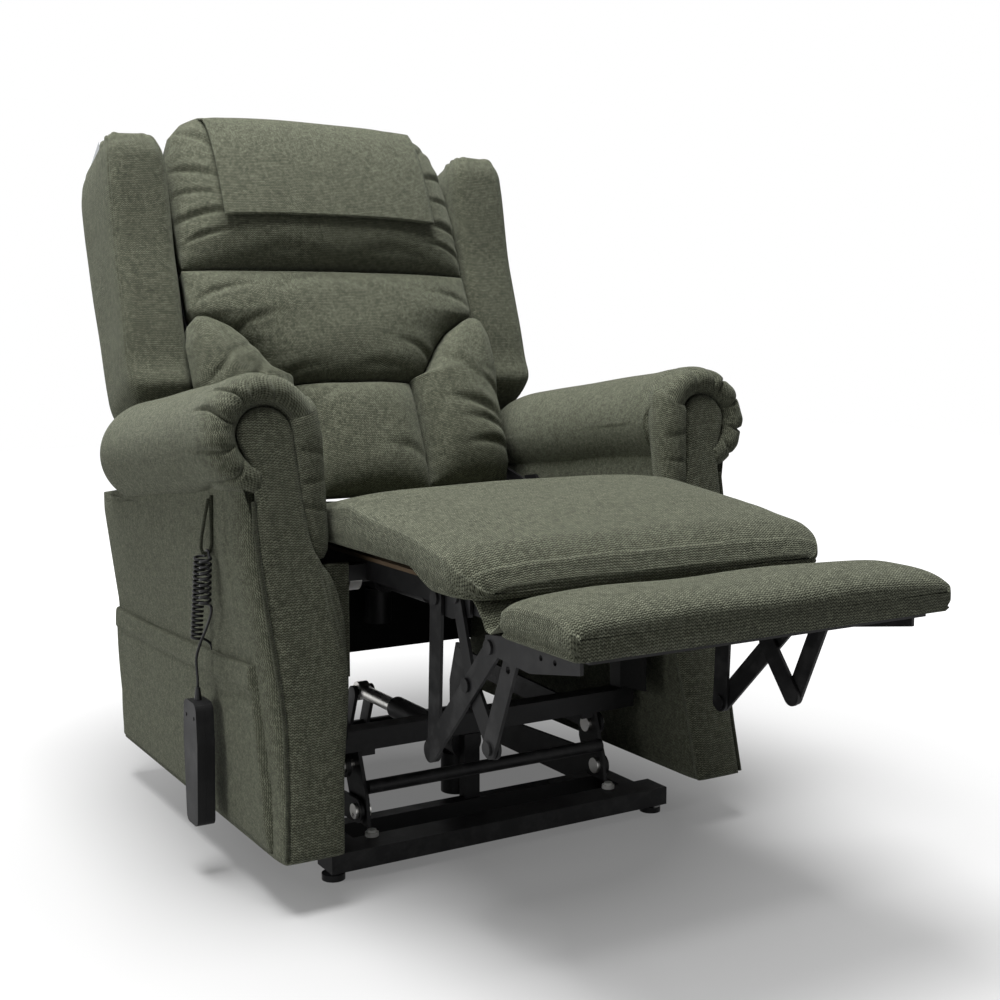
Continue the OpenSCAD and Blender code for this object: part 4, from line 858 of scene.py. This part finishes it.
def head_cloth():
    """The loose cover: from its free front hem up over the pillow and down behind. It lies 3 mm off the pillow's
    crown and stands off further at the sides, where the pillow falls away."""
    s = np.linspace(-1, 1, 61)
    u = np.linspace(HEM_U, TURN_U, 46)
    front_n = -(66 * swell((u - 352) / 270, 2.4) + 3)
    n = front_n[:, None] * crown(s * 0.72) ** 0.6 - 2.5
    lift = 5 * np.exp(-(u - HEM_U) / 22)[:, None]
    p = np.stack([np.broadcast_to(s * COVER_HALF, n.shape), n - lift, np.broadcast_to(u[:, None], n.shape)], -1)
    a = np.linspace(0, 1, 16)[1:]
    over_n = p[-1, :, 1][None] + (42 - p[-1, :, 1])[None] * a[:, None]
    over_u = TURN_U + 25.5 * np.sin(np.pi * a * 0.62)[:, None] + 0 * over_n
    p = np.concatenate([p, np.stack([np.broadcast_to(s * COVER_HALF, over_n.shape), over_n, over_u], -1)])
    p[..., 1] -= 0.8 * ripple(p[..., 0] / 300, p[..., 2] / 300, 71)
    return up_slope(p)


ob = surface("head_cloth", row_frame(head_cloth()), "back", CLOTH_BACK, wrap=False)
thicken(ob, 0.0035)
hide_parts("head_cover")

# ---------------------------------------------------------------- pocket, loop and fillers
def pocket():
    """The side pocket: a skin on the arm's outside that bulges by 5 mm, tucked into the seams at both ends, with a
    hem 24 mm deep along its sloping mouth and a shallow fold below it."""
    w = np.concatenate([0.03 * np.linspace(0, 1, 8) ** 1.5, np.linspace(0.04, 0.97, 84),
                        1 - 0.03 * np.linspace(1, 0, 6) ** 1.5])
    q = np.concatenate([np.linspace(0, 0.86, 34), np.linspace(0.87, 0.985, 12), [1.0]])
    top = np.interp(w, [0, 0.45, 1], [291, 280, 267]) - 4 * np.sin(np.pi * w)
    z = ARM_FOOT + 5 + (top[:, None] - ARM_FOOT - 5) * q
    start = (z - ARM_FOOT) * LEAN + 22
    y = start + (ARM_REAR - 3 - start) * w[:, None]
    edge = np.clip(np.minimum(w, 1 - w) / 0.03, 0, 1)[:, None] ** 0.6
    k = 5.2 * np.sin(np.pi * np.clip(q, 0, 1)) ** 0.6 + 2.2 * smooth((q - 0.862) / 0.012) + 2.6
    bow = 4.5 * np.sin(np.pi * (z - ARM_FOOT) / 440) ** 0.7
    x = arm_outer(z) - 14 * (1 - smooth(w[:, None] / 0.028)) + (bow + k) * edge
    x = x + 1.3 * ripple(z / 260, y / 260, 81) * edge
    x = x - 2.2 * crease(z - top[:, None] + 60 + 0.09 * (y - 300), 6) * smooth((0.55 - w[:, None]) * 5) * edge
    face = np.stack([x, y, z], -1)
    rear = np.stack([arm_outer(z[:, ::-6]) - 2, y[:, ::-6], z[:, ::-6]], -1)
    return mirror(np.concatenate([face, rear], 1), -1)


ob = surface("pocket_skin", row_frame(pocket()), "chassis", CLOTH)
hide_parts("side_pocket")

loop = np.array([[-372.5, 160, 488], [-373, 160, 470], [-373, 160, 445], [-373.5, 160, 425], [-376, 160, 417.5],
                 [-380, 160, 416.2], [-385, 160, 417], [-387, 160, 424], [-386, 160, 436], [-381, 160, 462],
                 [-376, 160, 484]])
ob = tube("cord_hanger", row_frame(loop), 0.0022, "chassis", PIPING, sides=12, steps=60)
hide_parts("cord_loop")


def filler(side):
    """The narrow front panel inside the arm: one superellipse, 41 mm wide and 7 mm deep, carried straight up."""
    a = np.linspace(0, TURN, 48, endpoint=False)
    z = np.linspace(262, 405, 40)[:, None] + 0 * a
    x = 250.8 + 20.6 * np.sign(np.cos(a)) * np.abs(np.cos(a)) ** 0.3 + 0 * z
    y = 71 + 3.6 * np.sign(np.sin(a)) * np.abs(np.sin(a)) ** 0.5 + 0 * z
    return mirror(np.stack([x, y, z], -1), side)


for side, tag in ((-1, "left"), (1, "right")):
    ob = surface(f"filler_{tag}", row_frame(filler(side)), "chassis", CLOTH_COARSE)
    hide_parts("front_fillers")

# ---------------------------------------------------------------- room and light
def stage_plane(name, loc, size):
    """A square of the given size that isn't part of the object."""
    me = bpy.data.meshes.new(name)
    h = size / 2
    me.from_pydata([(-h, -h, 0), (h, -h, 0), (h, h, 0), (-h, h, 0)], [], [(0, 1, 2, 3)])
    ob = bpy.data.objects.new(name, me)
    ob.location = loc
    bpy.context.scene.collection.objects.link(ob)
    return ob


FLOOR_GREY, WORLD_LIGHT = 0.42, 0.12
PAINTED_SHADE_REACH, PAINTED_SHADE_WHITE = (0.3, 1.7), 0.15       # metres from the middle, and the white kept nearest the object: painted shade that darkens the floor towards the object


def camera_white(tree, out, shader, shade=False):
    """Shows plain white to the camera, and to glossy and transmitted rays, in place of the given shader. With shade,
    the given shader is added to a white that is painted weaker towards the object: painted shade round and under it,
    with the object's real shadow on top."""
    w = Wires(tree)
    path = w.node("ShaderNodeLightPath")
    seen = w.maths("MAXIMUM", path.outputs["Is Camera Ray"], w.maths("MAXIMUM", path.outputs["Is Glossy Ray"],
                                                                     path.outputs["Is Transmission Ray"]))
    white = w.node("ShaderNodeEmission")
    shown = white
    if shade:
        far = w.node("ShaderNodeVectorMath", operation="LENGTH")
        w.link(w.node("ShaderNodeTexCoord").outputs["Object"], far.inputs[0])
        # painted shade: the white falls from full far off to a low value near the middle, darkening the floor round the
        # object
        w.link(w.ramp(far.outputs["Value"], *PAINTED_SHADE_REACH, PAINTED_SHADE_WHITE, 1.0), white.inputs["Strength"])
        shown = w.node("ShaderNodeAddShader")
        w.link(white.outputs[0], shown.inputs[0])
        w.link(shader, shown.inputs[1])
    mix = w.node("ShaderNodeMixShader")
    for source, socket in zip((seen, shader, shown.outputs[0]), mix.inputs):
        w.link(source, socket)
    w.link(mix.outputs[0], out.inputs["Surface"])


m, w, p = material("studio_floor")
p.inputs["Base Color"].default_value = (FLOOR_GREY, FLOOR_GREY, FLOOR_GREY, 1)
p.inputs["Roughness"].default_value = 0.9
p.inputs["Specular IOR Level"].default_value = 0.0
camera_white(m.node_tree, m.node_tree.nodes["Material Output"], p.outputs[0], shade=True)
floor = stage_plane("floor", (0, 0, -0.0005), 14)
floor.data.materials.append(m)

world = bpy.data.worlds.new("studio")
bpy.context.scene.world = world
world.use_nodes = True
bg = world.node_tree.nodes["Background"]
bg.inputs["Color"].default_value = (1, 1, 1, 1)
bg.inputs["Strength"].default_value = WORLD_LIGHT
camera_white(world.node_tree, world.node_tree.nodes["World Output"], bg.outputs[0])


def lamp(name, loc, aim, power, size):
    """A square lamp, its power in watts and its side in metres, turned towards a point."""
    li = bpy.data.lights.new(name, "AREA")
    li.energy, li.size = power, size
    ob = bpy.data.objects.new(name, li)
    ob.location = loc
    d = np.array(aim, float) - loc
    ob.rotation_euler = (math.atan2(math.hypot(d[0], d[1]), -d[2]), 0, math.atan2(d[1], d[0]) - math.pi / 2)
    bpy.context.scene.collection.objects.link(ob)


lamp("top", (-0.5, 0.05, 3.3), (0, -0.1, 0.4), 158, 1.6)
lamp("side", (-3.2, -0.4, 1.1), (0, 0, 0.45), 33, 1.4)
bpy.context.scene.view_settings.view_transform = "Standard"
